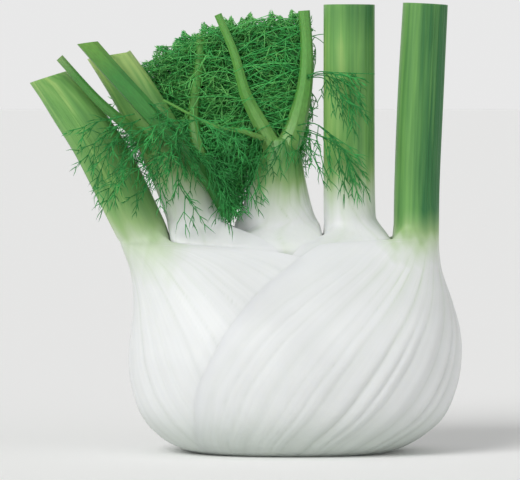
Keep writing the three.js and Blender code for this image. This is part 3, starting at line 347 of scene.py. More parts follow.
def length_setting(name, description, size):
    """A length that a user may change, from its size in millimetres."""
    return FloatProperty(name=name, description=description, default=size * MM, subtype="DISTANCE",
                         unit="LENGTH")


class FennelLeafSettings(bpy.types.PropertyGroup):
    """Sizes and colours of the leaves."""

    rib_depth: length_setting("Rib depth", "Depth of the grooves between ribs low on the bulb", 0.85)
    fine_rib_depth: length_setting("Fine rib depth", "Depth of the grooves on the face and stalks", 0.2)
    white: color_setting("Blanched flesh", "Colour of the blanched sheaths", "#E4E6E6")
    # groove and vein: painted shade that darkens the grooves; vein also gives them the greener tint of the
    # veins towards the stalks.
    groove: color_setting("Grooves", "Colour down in the grooves of the blanched sheaths", "#CFD6CA")
    vein_tint_and_groove_shade: color_setting("Veins", "Colour of the grooves below the stalks", "#C6DCAE")
    pale_green: color_setting("Pale green", "Colour where white turns to green", "#A9C58A")
    light_green: color_setting("Light green", "Light stripes of the stalks", "#74A85B")
    deep_green: color_setting("Deep green", "Dark side and dark stripes of the stalks", "#33703F")
    young_green: color_setting("Young green", "Palest stalks and cut ends", "#B5D07E")
    # Foot: partly the flesh's own greyer tint, partly painted shade on the underside of the bulb.
    greyed_foot_and_shade: color_setting("Foot", "Tint of the flesh towards the cut root", "#D3DBD2")
    pith: color_setting("Pith", "Colour inside a cut stalk", "#D9E4BE")


class FennelFrondSettings(bpy.types.PropertyGroup):
    """Sizes and colours of the fronds."""

    thread_radius: length_setting("Thread radius", "Half the thickness of a thread at its root", 0.17)
    shoot_length: length_setting("Shoot length", "Length of a spray's side shoots", 12)
    spray_length: length_setting("Spray length", "Length of a spray", 24)
    fullness: IntProperty(name="Fullness", description="Sprays grown for each that a stem is given",
                          default=5, min=1, max=8)
    shaded: color_setting("Hanging threads", "Colour of the threads that hang in front", "#318640")
    dark: color_setting("Dark threads", "Colour of the darker threads of the mass", "#45B259")
    light: color_setting("Light threads", "Colour of the lightest threads", "#7ED070")
    stem: color_setting("Stems", "Colour of the frond stems", "#5E9C45")
    stem_root: color_setting("Stem roots", "Colour of the frond stems where they fork", "#7BAA5C")


class FennelStageSettings(bpy.types.PropertyGroup):
    """The floor, the lights and the camera."""

    floor: color_setting("Floor", "Colour of the floor", "#F7F7F6")
    key_power: FloatProperty(name="Key light", default=1.8,
                             description="Strength of the large soft light at the upper left")
    fill_power: FloatProperty(name="Fill light", default=0.35,
                              description="Strength of the soft light at the right")
    horizon: FloatProperty(name="Horizon", default=0.81,
                           description="Brightness of the studio round the floor")
    overhead: FloatProperty(name="Overhead", default=0.45, description="Brightness of the studio overhead")
    camera_distance: length_setting("Camera distance", "From the camera to the bulb's middle", 1400)
    camera_elevation: FloatProperty(name="Camera elevation", description="Angle above the horizon",
                                    default=math.radians(2), subtype="ANGLE")


# --- Curves and outlines --------------------------------------------------------------------------------

def smooth(start, end, value):
    """0 before start, 1 after end, and an even slope between."""
    share = np.clip((value - start) / (end - start), 0, 1)
    return share * share * (3 - 2 * share)


def mix(a, b, share):
    return a + (b - a) * share


def curve(pairs, at):
    """A smooth curve through (at, value) pairs in rising order, level beyond both ends."""
    if at <= pairs[0][0]:
        return pairs[0][1]
    if at >= pairs[-1][0]:
        return pairs[-1][1]
    last = len(pairs) - 1

    def slope(i):
        low, high = pairs[max(0, i - 1)], pairs[min(last, i + 1)]
        return (high[1] - low[1]) / (high[0] - low[0])

    i = next(n for n in range(last) if at < pairs[n + 1][0])
    span = pairs[i + 1][0] - pairs[i][0]
    u = (at - pairs[i][0]) / span
    rise, fall = slope(i) * span, slope(i + 1) * span
    a, b = pairs[i][1], pairs[i + 1][1]
    return a + u * (rise + u * (3 * (b - a) - 2 * rise - fall + u * (rise + fall - 2 * (b - a))))


def column(rows, place):
    """(height, value) pairs out of one place of a table's rows."""
    return [(row[0], row[place]) for row in rows]


BULB_RIGHT, BULB_LEFT, BULB_DEPTH, BULB_SQUARE = (column(BULB, place) for place in (1, 2, 3, 4))


def outline(z, turn, inset=0.0):
    """Points of the bulb's outline at height z. turn is 0 at the right end, over the front to pi at the left
    end, and negative over the back. inset: how deep they lie under the outside."""
    power = 2 / curve(BULB_SQUARE, z)
    cos, sin = np.cos(turn), np.sin(turn)
    half = np.where(cos > 0, curve(BULB_RIGHT, z), curve(BULB_LEFT, z)) - inset
    depth = curve(BULB_DEPTH, z) - inset
    return half * np.sign(cos) * np.abs(cos) ** power, -depth * np.sign(sin) * np.abs(sin) ** power


def turn_at(z, x):
    """The turn at which the outline's front reaches across to x."""
    half = curve(BULB_RIGHT if x > 0 else BULB_LEFT, z)
    share = min(0.999, abs(x) / half) ** (curve(BULB_SQUARE, z) / 2)
    return math.acos(math.copysign(share, x))


def arc_of(z):
    """Turns from 0 to pi, and the length of the outline up to each."""
    turns = np.linspace(0, math.pi, ARC_STEPS + 1)
    x, y = outline(z, turns)
    return turns, np.concatenate([[0], np.cumsum(np.hypot(np.diff(x), np.diff(y)))])


def gap_under(layer, z):
    """The gap between a layer and the one outside it."""
    return LAYER_GAP if layer < 2 else mix(DEEP_GAP, LAYER_GAP, smooth(*GAP_NARROWS, z))


def flesh_at(leaf, z, u):
    """How thick a sheath is across, thinning out to its margins at u = 1 and -1."""
    return mix(curve(leaf["flesh"], z), EDGE, np.abs(u) ** 4)


def depth_of(layer, z, turn):
    """How deep the outside of layer number `layer` lies under the bulb's outline."""
    deepest = np.zeros_like(turn)
    for i in range(layer):
        over = LEAVES[OUTERMOST_IN[i]]
        if z < over["foot"] - 1:
            continue
        edge = np.where(turn >= 0, turn_at(z, curve(over["front"], z)), turn_at(z, curve(over["back"], z)))
        start = 0 if over["side"] > 0 else math.pi
        u = np.abs((np.abs(turn) - start) / (edge - start))
        cover = np.where(u <= 1, 1, 1 - smooth(0, MARGIN_STEP, np.abs(np.abs(turn) - edge)))
        below = depth_of(i, z, turn) + flesh_at(over, z, np.minimum(1, u)) + gap_under(layer, z)
        deepest = np.maximum(deepest, below * cover)
    return deepest


def limits_of(layer, z):
    """Where the fleshy backs of the leaves outside it stop a layer, on the left and on the right."""
    right, left = FAR, -FAR
    for i in range(layer):
        over = LEAVES[OUTERMOST_IN[i]]
        face = curve(over["inner"], z)
        if over["side"] > 0:
            right = min(right, face - gap_under(layer, z))
        else:
            left = max(left, face + gap_under(layer, z))
    return left, right


def within(x, left, right, rounding):
    """x kept between two limits, with the corners rounded."""
    x = rounding * np.logaddexp(x / rounding, left / rounding)
    return -rounding * np.logaddexp(-x / rounding, -right / rounding)


def layer_points(layer, z, turn, inset):
    """Points at height z that lie inset under the outside of a layer."""
    x, y = outline(z, turn, depth_of(layer, z, turn) + inset)
    left, right = limits_of(layer, z)
    return np.stack([within(x, left, right, OUTSIDE_CORNER), y, np.full_like(x, z)], axis=1)


# --- Leaves ---------------------------------------------------------------------------------------------

def rib_place(u, z):
    """Where across the leaf's own ribs a place lies: 0 on its back and 1 and -1 at its margins."""
    share = 1 - (1 - np.abs(u) ** curve(RIB_FOOT, z)) ** curve(RIB_FAN, z)
    return np.sign(u) * share


def groove_depth(leaf, u, z, settings):
    """How deep each place across the leaf lies below its ribs: broad ribs with sharp grooves low on the
    bulb, and fine grooves over the rest, with a lighter line between. Also how near each is to a groove."""
    place = rib_place(u, z)
    phase = place * leaf["ribs"] + 0.5
    (far, often), (less, faster) = GROOVE_STRAY
    phase = phase + far * np.sin(often * phase + leaf["side"]) + less * np.sin(faster * phase)
    # a fixed number between 0 and 1 for each groove, that looks random
    scatter = np.sin(np.round(phase) * 12.9898 + leaf["side"] * 4.1) * 43758.5453
    strength = WEAKEST_GROOVE + (1 - WEAKEST_GROOVE) * (scatter - np.floor(scatter))
    across = np.abs(np.sin(math.pi * phase))
    fine = 1 - across ** FINE_SHAPE
    broad = 1 - across ** BROAD_SHAPE
    between = 1 - np.abs(np.cos(math.pi * phase)) ** LINE_SHAPE
    bold = smooth(*BROAD_HEIGHTS, z) * mix(1.0, BROAD_LEAST, smooth(*BROAD_ACROSS, np.abs(place)))
    low = leaf["low"] * bold
    lines = strength * fine + LINE_SHARE * (1 - 0.8 * bold) * between
    on_stalk = smooth(leaf["close"][0], leaf["close"][1] + 8, z)
    turning = smooth(*TURNING[0], z) * smooth(*TURNING[1], z)
    depth = settings.rib_depth / MM * low * broad * (0.55 + 0.45 * strength)
    depth = depth + settings.fine_rib_depth / MM * mix(1.0, STALK_LINES, on_stalk) * lines
    fade = smooth(*FOOT_FADE, z) * smooth(*MARGIN_FADE, np.abs(u)) * (1 - leaf["settled"] * turning)
    return depth * fade, np.clip(lines, 0, 1) * fade


def sheath_loop(leaf, layer, z, settings):
    """One closed loop round the sheath at height z, from one margin over the outside to the other and back
    inside, with how near each place is to a groove."""
    turns, lengths = arc_of(z)
    start = 0.0 if leaf["side"] > 0 else math.pi
    own_end = 0.0 if leaf["side"] > 0 else lengths[-1]

    def turn_of(u):
        edges = [np.interp(turn_at(z, curve(leaf[key], z)), turns, lengths) for key in ("front", "back")]
        edge = np.where(u >= 0, edges[0], edges[1])
        turn = np.interp(mix(own_end, edge, np.abs(u)), lengths, turns)
        return np.where(u < 0, -turn, turn)

    outside, inside = across_places(leaf)
    groove, near = groove_depth(leaf, outside, z, settings)
    # at the very end of the outline the turn has no front or back, so both sides meet there
    turn = np.where(np.abs(outside) < 1e-9, start, turn_of(outside))
    loop = layer_points(layer, z, turn, np.minimum(groove, MOST_GROOVE * flesh_at(leaf, z, outside)))
    if leaf.get("solid"):
        share = (1 + inside)[:, None] / 2
        back = loop[-1] * (1 - share) + loop[0] * share
    else:
        turn = np.where(np.abs(inside) < 1e-9, start, turn_of(inside))
        back = layer_points(layer, z, turn, flesh_at(leaf, z, inside))
        face = curve(leaf["inner"], z)
        left, right = (-FAR, face) if leaf["side"] > 0 else (face, FAR)
        back[:, 0] = within(back[:, 0], left, right, INSIDE_CORNER)
    return np.concatenate([loop, back]), np.concatenate([near, np.zeros(len(back))])


def across_places(leaf):
    """Places across the leaf, -1 to 1, of a loop's outside and inside points, in their order."""
    even = np.linspace(1, -1, leaf["columns"] + 1)
    outside = np.sign(even) * (1 - (1 - np.abs(even)) ** (1 / COLUMN_FAN))
    reach = 1 - 1 / leaf["inside"] if leaf.get("solid") else INSIDE_REACH
    inside = np.linspace(-reach, reach, leaf["inside"])
    return (outside, inside) if leaf["side"] > 0 else (outside[::-1], inside[::-1])


def stalk_loop(leaf, z, settings, tilt=0.0):
    """One closed loop square across the stalk where its middle line passes height z."""
    line, wide, deep = (column(leaf["stalk"], place) for place in (1, 2, 3))
    above, under = min(z + LEAN_STEP, line[-1][0]), min(z, line[-1][0]) - LEAN_STEP
    slant = math.radians(tilt)
    angle = math.atan2(curve(line, above) - curve(line, under), above - under) + slant
    out = np.array([math.cos(angle), 0, -math.sin(angle)]) * leaf["side"]
    outside, inside = across_places(leaf)
    groove, near = groove_depth(leaf, outside, z, settings)
    rest = 180 - STALK_WRAP
    steps = leaf["inside"] + 1
    place = 2 * (np.arange(leaf["inside"]) + 1) / steps - 1
    degrees = np.concatenate([outside * STALK_WRAP, 180 - leaf["side"] * place * rest])
    inset = np.concatenate([groove, np.zeros(leaf["inside"])])
    turn = np.radians(degrees)
    channel = np.where((degrees > 90) & (degrees < 270), STALK_CHANNEL * np.cos(turn) ** 2, 0)
    middle = np.array([curve(line, z), 0, z])
    across = ((curve(wide, z) / math.cos(slant) - inset) * np.cos(turn) * (1 - channel))[:, None]
    points = middle + out * across
    points[:, 1] -= (curve(deep, z) - inset) * np.sin(turn)
    return points, np.concatenate([near, np.zeros(leaf["inside"])])


def leaf_heights(leaf):
    """Heights of the loops up a leaf."""
    spans = INNER_SPANS if leaf["foot"] > 0 else OUTER_SPANS
    heights = np.concatenate([np.arange(low, high, step) for low, high, step in spans])
    return np.concatenate([heights[heights < leaf["top"] - LAST_STEP], [leaf["top"]]])


def leaf_loops(leaf, layer, settings):
    """Heights up a leaf, and at each the loop round it and how near its places are to a groove."""
    heights = leaf_heights(leaf)
    loops, nears = [], []
    for z in heights:
        closed = float(smooth(*leaf["close"], z))
        if closed < 1:
            points, near = sheath_loop(leaf, layer, z, settings)
        if closed > 0:
            stalk, stalk_near = stalk_loop(leaf, z, settings, leaf["cut"] if z == leaf["top"] else 0)
            points = mix(points, stalk, closed) if closed < 1 else stalk
            near = mix(near, stalk_near, closed) if closed < 1 else stalk_near
        loops.append(points)
        nears.append(near)
    return heights, loops, nears


def cut_end(leaf, top, below):
    """Rings of the cut end: a hard skin at the rim, and pith that has drawn in a little towards the middle.
    Where the heart leaf forks there is no cut, and its stalk ends in a low dome between the arms."""
    centre = top.mean(axis=0)
    inwards = unit(below.mean(axis=0) - centre)
    rings = []
    for share in CUT_SHARES:
        sink = PITH_SINK * (1 - share ** 4) * (1 + 0.25 * math.sin(9 * share))
        if leaf.get("solid"):
            sink = -FORK_DOME * math.sqrt(1 - share ** 2)
        rings.append(centre + (top - centre) * share + inwards * sink)
    return rings


def leaf_texture(leaf, heights):
    """The leaf's texture: two ribs to a unit across, and a centimetre to a unit up it. On its cut end it runs
    once round, and from 0 in the middle to 1 at the rim."""
    outside, inside = across_places(leaf)
    count = len(outside) + len(inside)
    skin = len(heights)
    uv = np.zeros((skin + len(CUT_SHARES), count + 1, 2))
    for i, height in enumerate(heights):
        across = np.concatenate([rib_place(outside, height), inside + 3 * leaf["side"]]) * leaf["ribs"] / 2
        uv[i, :count, 0] = across
        uv[i, count, 0] = across[-1] + 0.1
    uv[:skin, :, 1] = heights[:, None] / 10
    uv[skin:, :, 0] = np.linspace(0, 1, count + 1)
    uv[skin:, :, 1] = leaf["top"] / 10 if leaf.get("solid") else np.array(CUT_SHARES)[:, None]
    return uv


def deselect_all():
    for chosen in list(bpy.context.selected_objects):
        chosen.select_set(False)


def grid_piece(name, points, uv, attributes=None):
    """A closed tube from rows of points: a grid primitive wrapped round them, its seam merged."""
    rows, columns = points.shape[:2]
    deselect_all()
    bpy.ops.mesh.primitive_grid_add(x_subdivisions=columns, y_subdivisions=rows - 1, size=2)
    piece = bpy.context.object
    piece.name = piece.data.name = name
    mesh = piece.data
    flat = np.empty(len(mesh.vertices) * 3, np.float32)
    mesh.vertices.foreach_get("co", flat)
    places = flat.reshape(-1, 3)
    across = np.rint((places[:, 0] + 1) / 2 * columns).astype(int)
    along = np.rint((places[:, 1] + 1) / 2 * (rows - 1)).astype(int)
    wrapped = points[along, across % columns] * MM
    mesh.vertices.foreach_set("co", wrapped.astype(np.float32).ravel())
    for key, values in (attributes or {}).items():
        kind, field = ("FLOAT_VECTOR", "vector") if values.ndim == 3 else ("FLOAT", "value")
        attribute = mesh.attributes.new(key, kind, "POINT")
        attribute.data.foreach_set(field, values[along, across % columns].astype(np.float32).ravel())
    corners = np.empty(len(mesh.loops), int)
    mesh.loops.foreach_get("vertex_index", corners)
    coordinates = uv[along[corners], across[corners]]
    mesh.uv_layers[0].data.foreach_set("uv", coordinates.astype(np.float32).ravel())
    bpy.ops.object.mode_set(mode="EDIT")
    bpy.ops.mesh.select_all(action="SELECT")
    bpy.ops.mesh.remove_doubles(threshold=MERGE_DISTANCE)
    bpy.ops.mesh.normals_make_consistent(inside=False)
    bpy.ops.object.mode_set(mode="OBJECT")
    return piece


def finish_piece(piece, node, materials, angle=SMOOTH_ANGLE):
    """Gives a piece its materials, smooth shading and place in the frame."""
    for material in materials:
        piece.data.materials.append(material)
    deselect_all()
    piece.select_set(True)
    bpy.context.view_layer.objects.active = piece
    bpy.ops.object.shade_smooth_by_angle(angle=math.radians(angle))
    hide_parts(node)
    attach(piece, "root")
    piece.select_set(False)


def close_foot(piece):
    """Closes the open loop at the foot of a sheath with flat faces."""
    deselect_all()
    piece.select_set(True)
    bpy.context.view_layer.objects.active = piece
    bpy.ops.object.mode_set(mode="EDIT")
    bpy.ops.mesh.select_mode(type="EDGE")
    bpy.ops.mesh.select_all(action="DESELECT")
    bpy.ops.mesh.select_non_manifold()
    bpy.ops.mesh.edge_face_add()
    bpy.ops.mesh.quads_convert_to_tris()
    bpy.ops.mesh.select_all(action="SELECT")
    bpy.ops.mesh.normals_make_consistent(inside=False)
    bpy.ops.mesh.select_mode(type="VERT")
    bpy.ops.object.mode_set(mode="OBJECT")


def mark_cut(piece, leaf):
    """Gives the faces of a cut end their own material: there the texture runs no higher than 1."""
    corners = np.empty(len(piece.data.loops) * 2, np.float32)
    piece.data.uv_layers[0].data.foreach_get("uv", corners)
    up = corners.reshape(-1, 2)[:, 1]
    lowest = (leaf["top"] - CUT_SPAN) * MM
    for polygon in piece.data.polygons:
        if polygon.center.z > lowest and all(up[i] <= 1.0 for i in polygon.loop_indices):
            polygon.material_index = 1


def model_leaf(name, leaf, layer, settings, cut):
    """One leaf as one closed piece, with what its skin reads: how near a groove is, the height by which it
    turns green, and places across its stalk."""
    heights, loops, nears = leaf_loops(leaf, layer, settings)
    points = np.array(loops + cut_end(leaf, loops[-1], loops[-2]))
    near = np.array(nears + [np.zeros(len(loops[0]))] * len(CUT_SHARES))
    # the sheath turns green only near the foot of its stalk
    middle = np.array([curve(column(leaf["stalk"], 1), z) for z in points[:, :, 2].mean(axis=1)])[:, None]
    aside = np.maximum(0, np.abs(points[:, :, 0] - middle) - STALK_HALF)
    rise = points[:, :, 2] - GREEN_FALL * aside
    # the stalk's lean is taken out, so that its fibres run straight
    fibre = points * [1, 1, FIBRE_STRETCH] * MM
    fibre[:, :, 0] -= middle * MM
    piece = grid_piece(name + "_skin", points, leaf_texture(leaf, heights),
                       {"groove": near, "rise": rise * MM, "fibre": fibre})
    close_foot(piece)
    finish_piece(piece, name, [skin_material("fennel_skin_" + name, leaf, settings), cut])
    mark_cut(piece, leaf)
    return piece


# --- Fronds ---------------------------------------------------------------------------------------------

def smooth_path(places, steps):
    """Even places along a smooth line through the ones given."""
    places = np.array(places, float)
    pads = np.vstack([2 * places[0] - places[1], places, 2 * places[-1] - places[-2]])
    line = []
    for i in range(len(places) - 1):
        p0, p1, p2, p3 = pads[i:i + 4]
        spans = [max(1e-6, np.linalg.norm(b - a)) for a, b in ((p0, p1), (p1, p2), (p2, p3))]
        knots = np.cumsum([0] + [span ** 0.5 for span in spans])
        for t in np.linspace(knots[1], knots[2], CURVE_STEPS, endpoint=i == len(places) - 2):
            a1 = mix(p0, p1, (t - knots[0]) / (knots[1] - knots[0]))
            a2 = mix(p1, p2, (t - knots[1]) / (knots[2] - knots[1]))
            a3 = mix(p2, p3, (t - knots[2]) / (knots[3] - knots[2]))
            b1 = mix(a1, a2, (t - knots[0]) / (knots[2] - knots[0]))
            b2 = mix(a2, a3, (t - knots[1]) / (knots[3] - knots[1]))
            line.append(mix(b1, b2, (t - knots[1]) / (knots[2] - knots[1])))
    line = np.array(line)
    lengths = np.concatenate([[0], np.cumsum(np.linalg.norm(np.diff(line, axis=0), axis=1))])
    even = np.linspace(0, lengths[-1], steps + 1)
    return np.stack([np.interp(even, lengths, line[:, k]) for k in range(3)], axis=1)


def unit(vectors):
    return vectors / np.maximum(1e-9, np.linalg.norm(vectors, axis=-1, keepdims=True))


def sides_of(ahead):
    """Two directions square to each of the given ones."""
    steep = np.abs(ahead[..., 2:3]) > 0.9
    side = np.where(steep, np.array([1.0, 0, 0]), np.array([0, 0, 1.0]))
    first = unit(np.cross(side, ahead))
    return first, np.cross(ahead, first)


def trim_height(x):
    """How high the fronds reach: the trimmed arc, a little jagged."""
    jags = sum(height * np.sin(often * x + start) for height, often, start in TRIM_JAGS)
    return TRIM["top"] - TRIM["fall"] * np.abs(x / TRIM["half"]) ** TRIM["power"] + jags - TRIM["sink"]


def stalk_rows():
    """For each leaf: heights up its stalk, and its middle, half-width level across and half-depth there."""
    rows = []
    for leaf in LEAVES.values():
        heights = np.linspace(BULB_SHOULDER, leaf["top"], 30)
        line, wide, deep = (np.array([curve(column(leaf["stalk"], place), z) for z in heights])
                            for place in (1, 2, 3))
        lean = np.arctan(np.gradient(line, heights))
        rows.append((heights, line, wide / np.cos(lean), deep))
    return rows


SHOULDER_HEIGHTS = np.linspace(*SHOULDER_SPAN, 41)
SHOULDER = [np.array([curve(pairs, z) for z in SHOULDER_HEIGHTS])
            for pairs in (BULB_RIGHT, BULB_LEFT, BULB_DEPTH, BULB_SQUARE)]
STALK_ROWS = stalk_rows()


def blocked(places, room):
    """Which places, with room round them, lie in the bulb or in a stalk."""
    x, y, z = places[:, 0], places[:, 1], places[:, 2]
    right, left, depth, square = (np.interp(z, SHOULDER_HEIGHTS, values) for values in SHOULDER)
    half = np.where(x > 0, right, left) + room
    inside = (np.abs(x / half) ** square + np.abs(y / (depth + room)) ** square < 1) & (z < BULB_SHOULDER + 2)
    inside |= z < SHOULDER_SPAN[0]
    # the stalks start a little below the shoulder, inside the bulb
    for heights, line, wide, deep in STALK_ROWS:
        across = (x - np.interp(z, heights, line)) / (np.interp(z, heights, wide) + room)
        through = y / (np.interp(z, heights, deep) + room)
        inside |= (across ** 2 + through ** 2 < 1) & (z < heights[-1] + room) & (z > BULB_SHOULDER - 6)
    return inside


def cut_short(roots, tips, room, least):
    """Tips brought back to where a thread would run into a stalk or over the trimmed arc, and whether each
    thread is still at least that long."""
    share = np.ones(len(roots))
    open_way = np.ones(len(roots), bool)
    for step in (0.25, 0.5, 0.75, 1.0):
        places = mix(roots, tips, step)
        stopped = blocked(places, room) | (places[:, 2] > trim_height(places[:, 0]))
        share[open_way & stopped] = step - 0.25
        open_way &= ~stopped
    return mix(roots, tips, share[:, None]), share * np.linalg.norm(tips - roots, axis=1) >= least


def side_growth(roots, tips, bend, tones, rule, random, radius, front, right):
    """Pairs of side threads on curved threads: roots, tips, bend and tone of each."""
    ahead = unit(tips - roots)
    first, second = sides_of(ahead)
    length = np.linalg.norm(tips - roots, axis=1)
    roll = random.uniform(0, 2 * math.pi, len(roots))
    made = []
    for k, place in enumerate(rule["places"]):
        middle = mix(roots, tips, place) + bend * (4 * place * (1 - place))
        for half_turn in (0, math.pi):
            around = roll + k * math.pi / 2 + half_turn + random.uniform(-0.5, 0.5, len(roots))
            outward = first * np.cos(around)[:, None] + second * np.sin(around)[:, None]
            fork = np.radians(random.uniform(*rule["splay"], len(roots)))[:, None]
            usual = length * rule["share"] * (1.1 - rule["taper"] * place)
            reach = usual * random.uniform(*THREAD_SIZES, len(roots))
            way = unit(ahead * np.cos(fork) + outward * np.sin(fork))
            ends, kept = cut_short(middle, middle + way * reach[:, None], radius + THREAD_ROOM, LEAST_THREAD)
            kept &= (ends[:, 1] > front) & (ends[:, 0] < right)
            bow = (outward * THREAD_BOW[0] + random.normal(0, THREAD_BOW[1], outward.shape)) * reach[:, None]
            made.append((middle[kept], ends[kept], bow[kept], tones[kept]))
    return [np.concatenate(parts) for parts in zip(*made)]


def grow_spray(path, random, settings, strand, form, tones, front=-FAR, right=FAR):
    """Adds the threads of one spray along a path to a strand: its midrib, its side shoots, threads along
    those and tines along the threads. None of them reaches past the limits in front and at the right."""
    clear = ~blocked(path, MIDRIB_ROOM) & (path[:, 2] <= trim_height(path[:, 0]))
    clear[0] = True
    reach = len(path) if clear.all() else int(np.argmin(clear))
    if reach < 3:
        return
    path = path[:reach]
    lengths = np.concatenate([[0], np.cumsum(np.linalg.norm(np.diff(path, axis=0), axis=1))])
    rule = form["shoots"]
    count = int((lengths[-1] - rule["first"]) / rule["every"]) + 1
    if count < 2:
        return
    radius = settings.thread_radius / MM
    tone = random.uniform(*tones)
    for i in range(reach - 1):
        strand["rods"].append((path[i], path[i + 1], radius * mix(*MIDRIB_TAPER, i / reach),
                               radius * mix(*MIDRIB_TAPER, (i + 1) / reach), MIDRIB_TONE * tone))
    at = rule["first"] + np.arange(count) * rule["every"]
    roots = np.stack([np.interp(at, lengths, path[:, k]) for k in range(3)], axis=1)
    after, before = (np.stack([np.interp(at + step, lengths, path[:, k]) for k in range(3)], axis=1)
                     for step in (0.5, -0.5))
    ahead = unit(after - before + 1e-6)
    first, second = sides_of(ahead)
    number = np.repeat(np.arange(count), 2)
    roots, ahead, first, second = (np.repeat(a, 2, axis=0) for a in (roots, ahead, first, second))
    angle = random.uniform(0, 2 * math.pi) + number * SHOOT_TURN + np.tile([0, math.pi], count)
    angle = angle + random.uniform(-0.4, 0.4, len(angle))
    out = first * np.cos(angle)[:, None] + second * np.sin(angle)[:, None]
    splay = np.radians(random.uniform(*rule["splay"], len(angle)))[:, None]
    size = settings.shoot_length / MM * rule["share"] * random.uniform(*SHOOT_SIZES, len(angle))
    size = size * (1 - rule["taper"] * number / count)
    tips = roots + unit(out * np.sin(splay) + ahead * np.cos(splay)) * size[:, None]
    tips[:, 2] -= rule["sag"] * size
    tips, kept = cut_short(roots, tips, radius + SHOOT_ROOM, LEAST_SHOOT)
    kept &= (tips[:, 1] > front) & (tips[:, 0] < right)
    if not kept.any():
        return
    roots, tips, out, size = (a[kept] for a in (roots, tips, out, size))
    bend = (out * SHOOT_BOW[0] + random.normal(0, SHOOT_BOW[1], out.shape)) * size[:, None]
    tones = np.clip(tone + random.uniform(-TONE_SPREAD, TONE_SPREAD, len(roots)), 0, 1)
    strand["shoots"].append((roots, tips, bend, tones, radius * SHOOT_THICKNESS))
    threads = side_growth(roots, tips, bend, tones, form["threads"], random, radius, front, right)
    strand["shoots"].append((*threads, radius))
    if "tines" in form:
        tines = side_growth(*threads, form["tines"], random, radius, front, right)
        strand["tines"].append((*tines, radius * TINE_THICKNESS))


def drawn_in(y):
    """Places from front to back, those far in front and far behind drawn in to the depth of the bulb."""
    reach = MOST_DEPTH - FREE_DEPTH
    beyond = np.maximum(np.abs(y) - FREE_DEPTH, 0)
    return np.sign(y) * (np.minimum(np.abs(y), FREE_DEPTH) + reach * (1 - np.exp(-beyond / reach)))


def stem_sprays(stem, turn, random, settings, strand):
    """Grows the sprays up a stem, each turned from the last by the golden angle, and gives the last turn."""
    path = smooth_path(stem["line"], STEM_STEPS)
    form, tones = (LOOSE, LOOSE_TONES) if stem.get("loose") else (FULL, FULL_TONES)
    sprays = stem["sprays"] * settings.fullness
    far = np.linspace(0, 1, SPRAY_STEPS + 1)[:, None]
    for i in range(sprays):
        at = mix(stem["low"], stem["high"], (i + 0.5) / sprays) * STEM_STEPS
        root = mix(path[int(at)], path[min(STEM_STEPS, int(at) + 1)], at - int(at))
        turn += GOLDEN_TURN
        share = turn / (2 * math.pi) % 1
        angle = math.radians(stem["aim"] + stem["spread"] * (2 * share - 1))
        out = unit(np.array([math.cos(angle), math.sin(angle), random.uniform(*stem["rise"])]))
        length = settings.spray_length / MM * random.uniform(*SPRAY_SIZES)
        spray = root + out * length * far
        sideways = unit(random.normal(0, 1, 3)) * np.sin(math.pi * far)
        spray += sideways * random.uniform(0, SPRAY_BOW) * length
        spray[:, 2] -= SPRAY_DROOP * far[:, 0] ** 2 * length
        grow_spray(spray, random, settings, strand, form, tones, stem.get("front", -FAR),
                   stem.get("right", FAR))
    return turn


def placed_sprays(frond, random, settings, strand):
    """Grows a frond's sprays that are given by their places."""
    for key, form, tones, copies in PLACED:
        for places in frond.get(key, []) * copies:
            scatter = random.normal(0, PLACE_SCATTER, (4, 3)) * PLACE_SHARES
            moved = np.array(places, float) + scatter
            grow_spray(smooth_path(moved, PLACED_STEPS), random, settings, strand, form, tones,
                       right=PLACED_RIGHT)


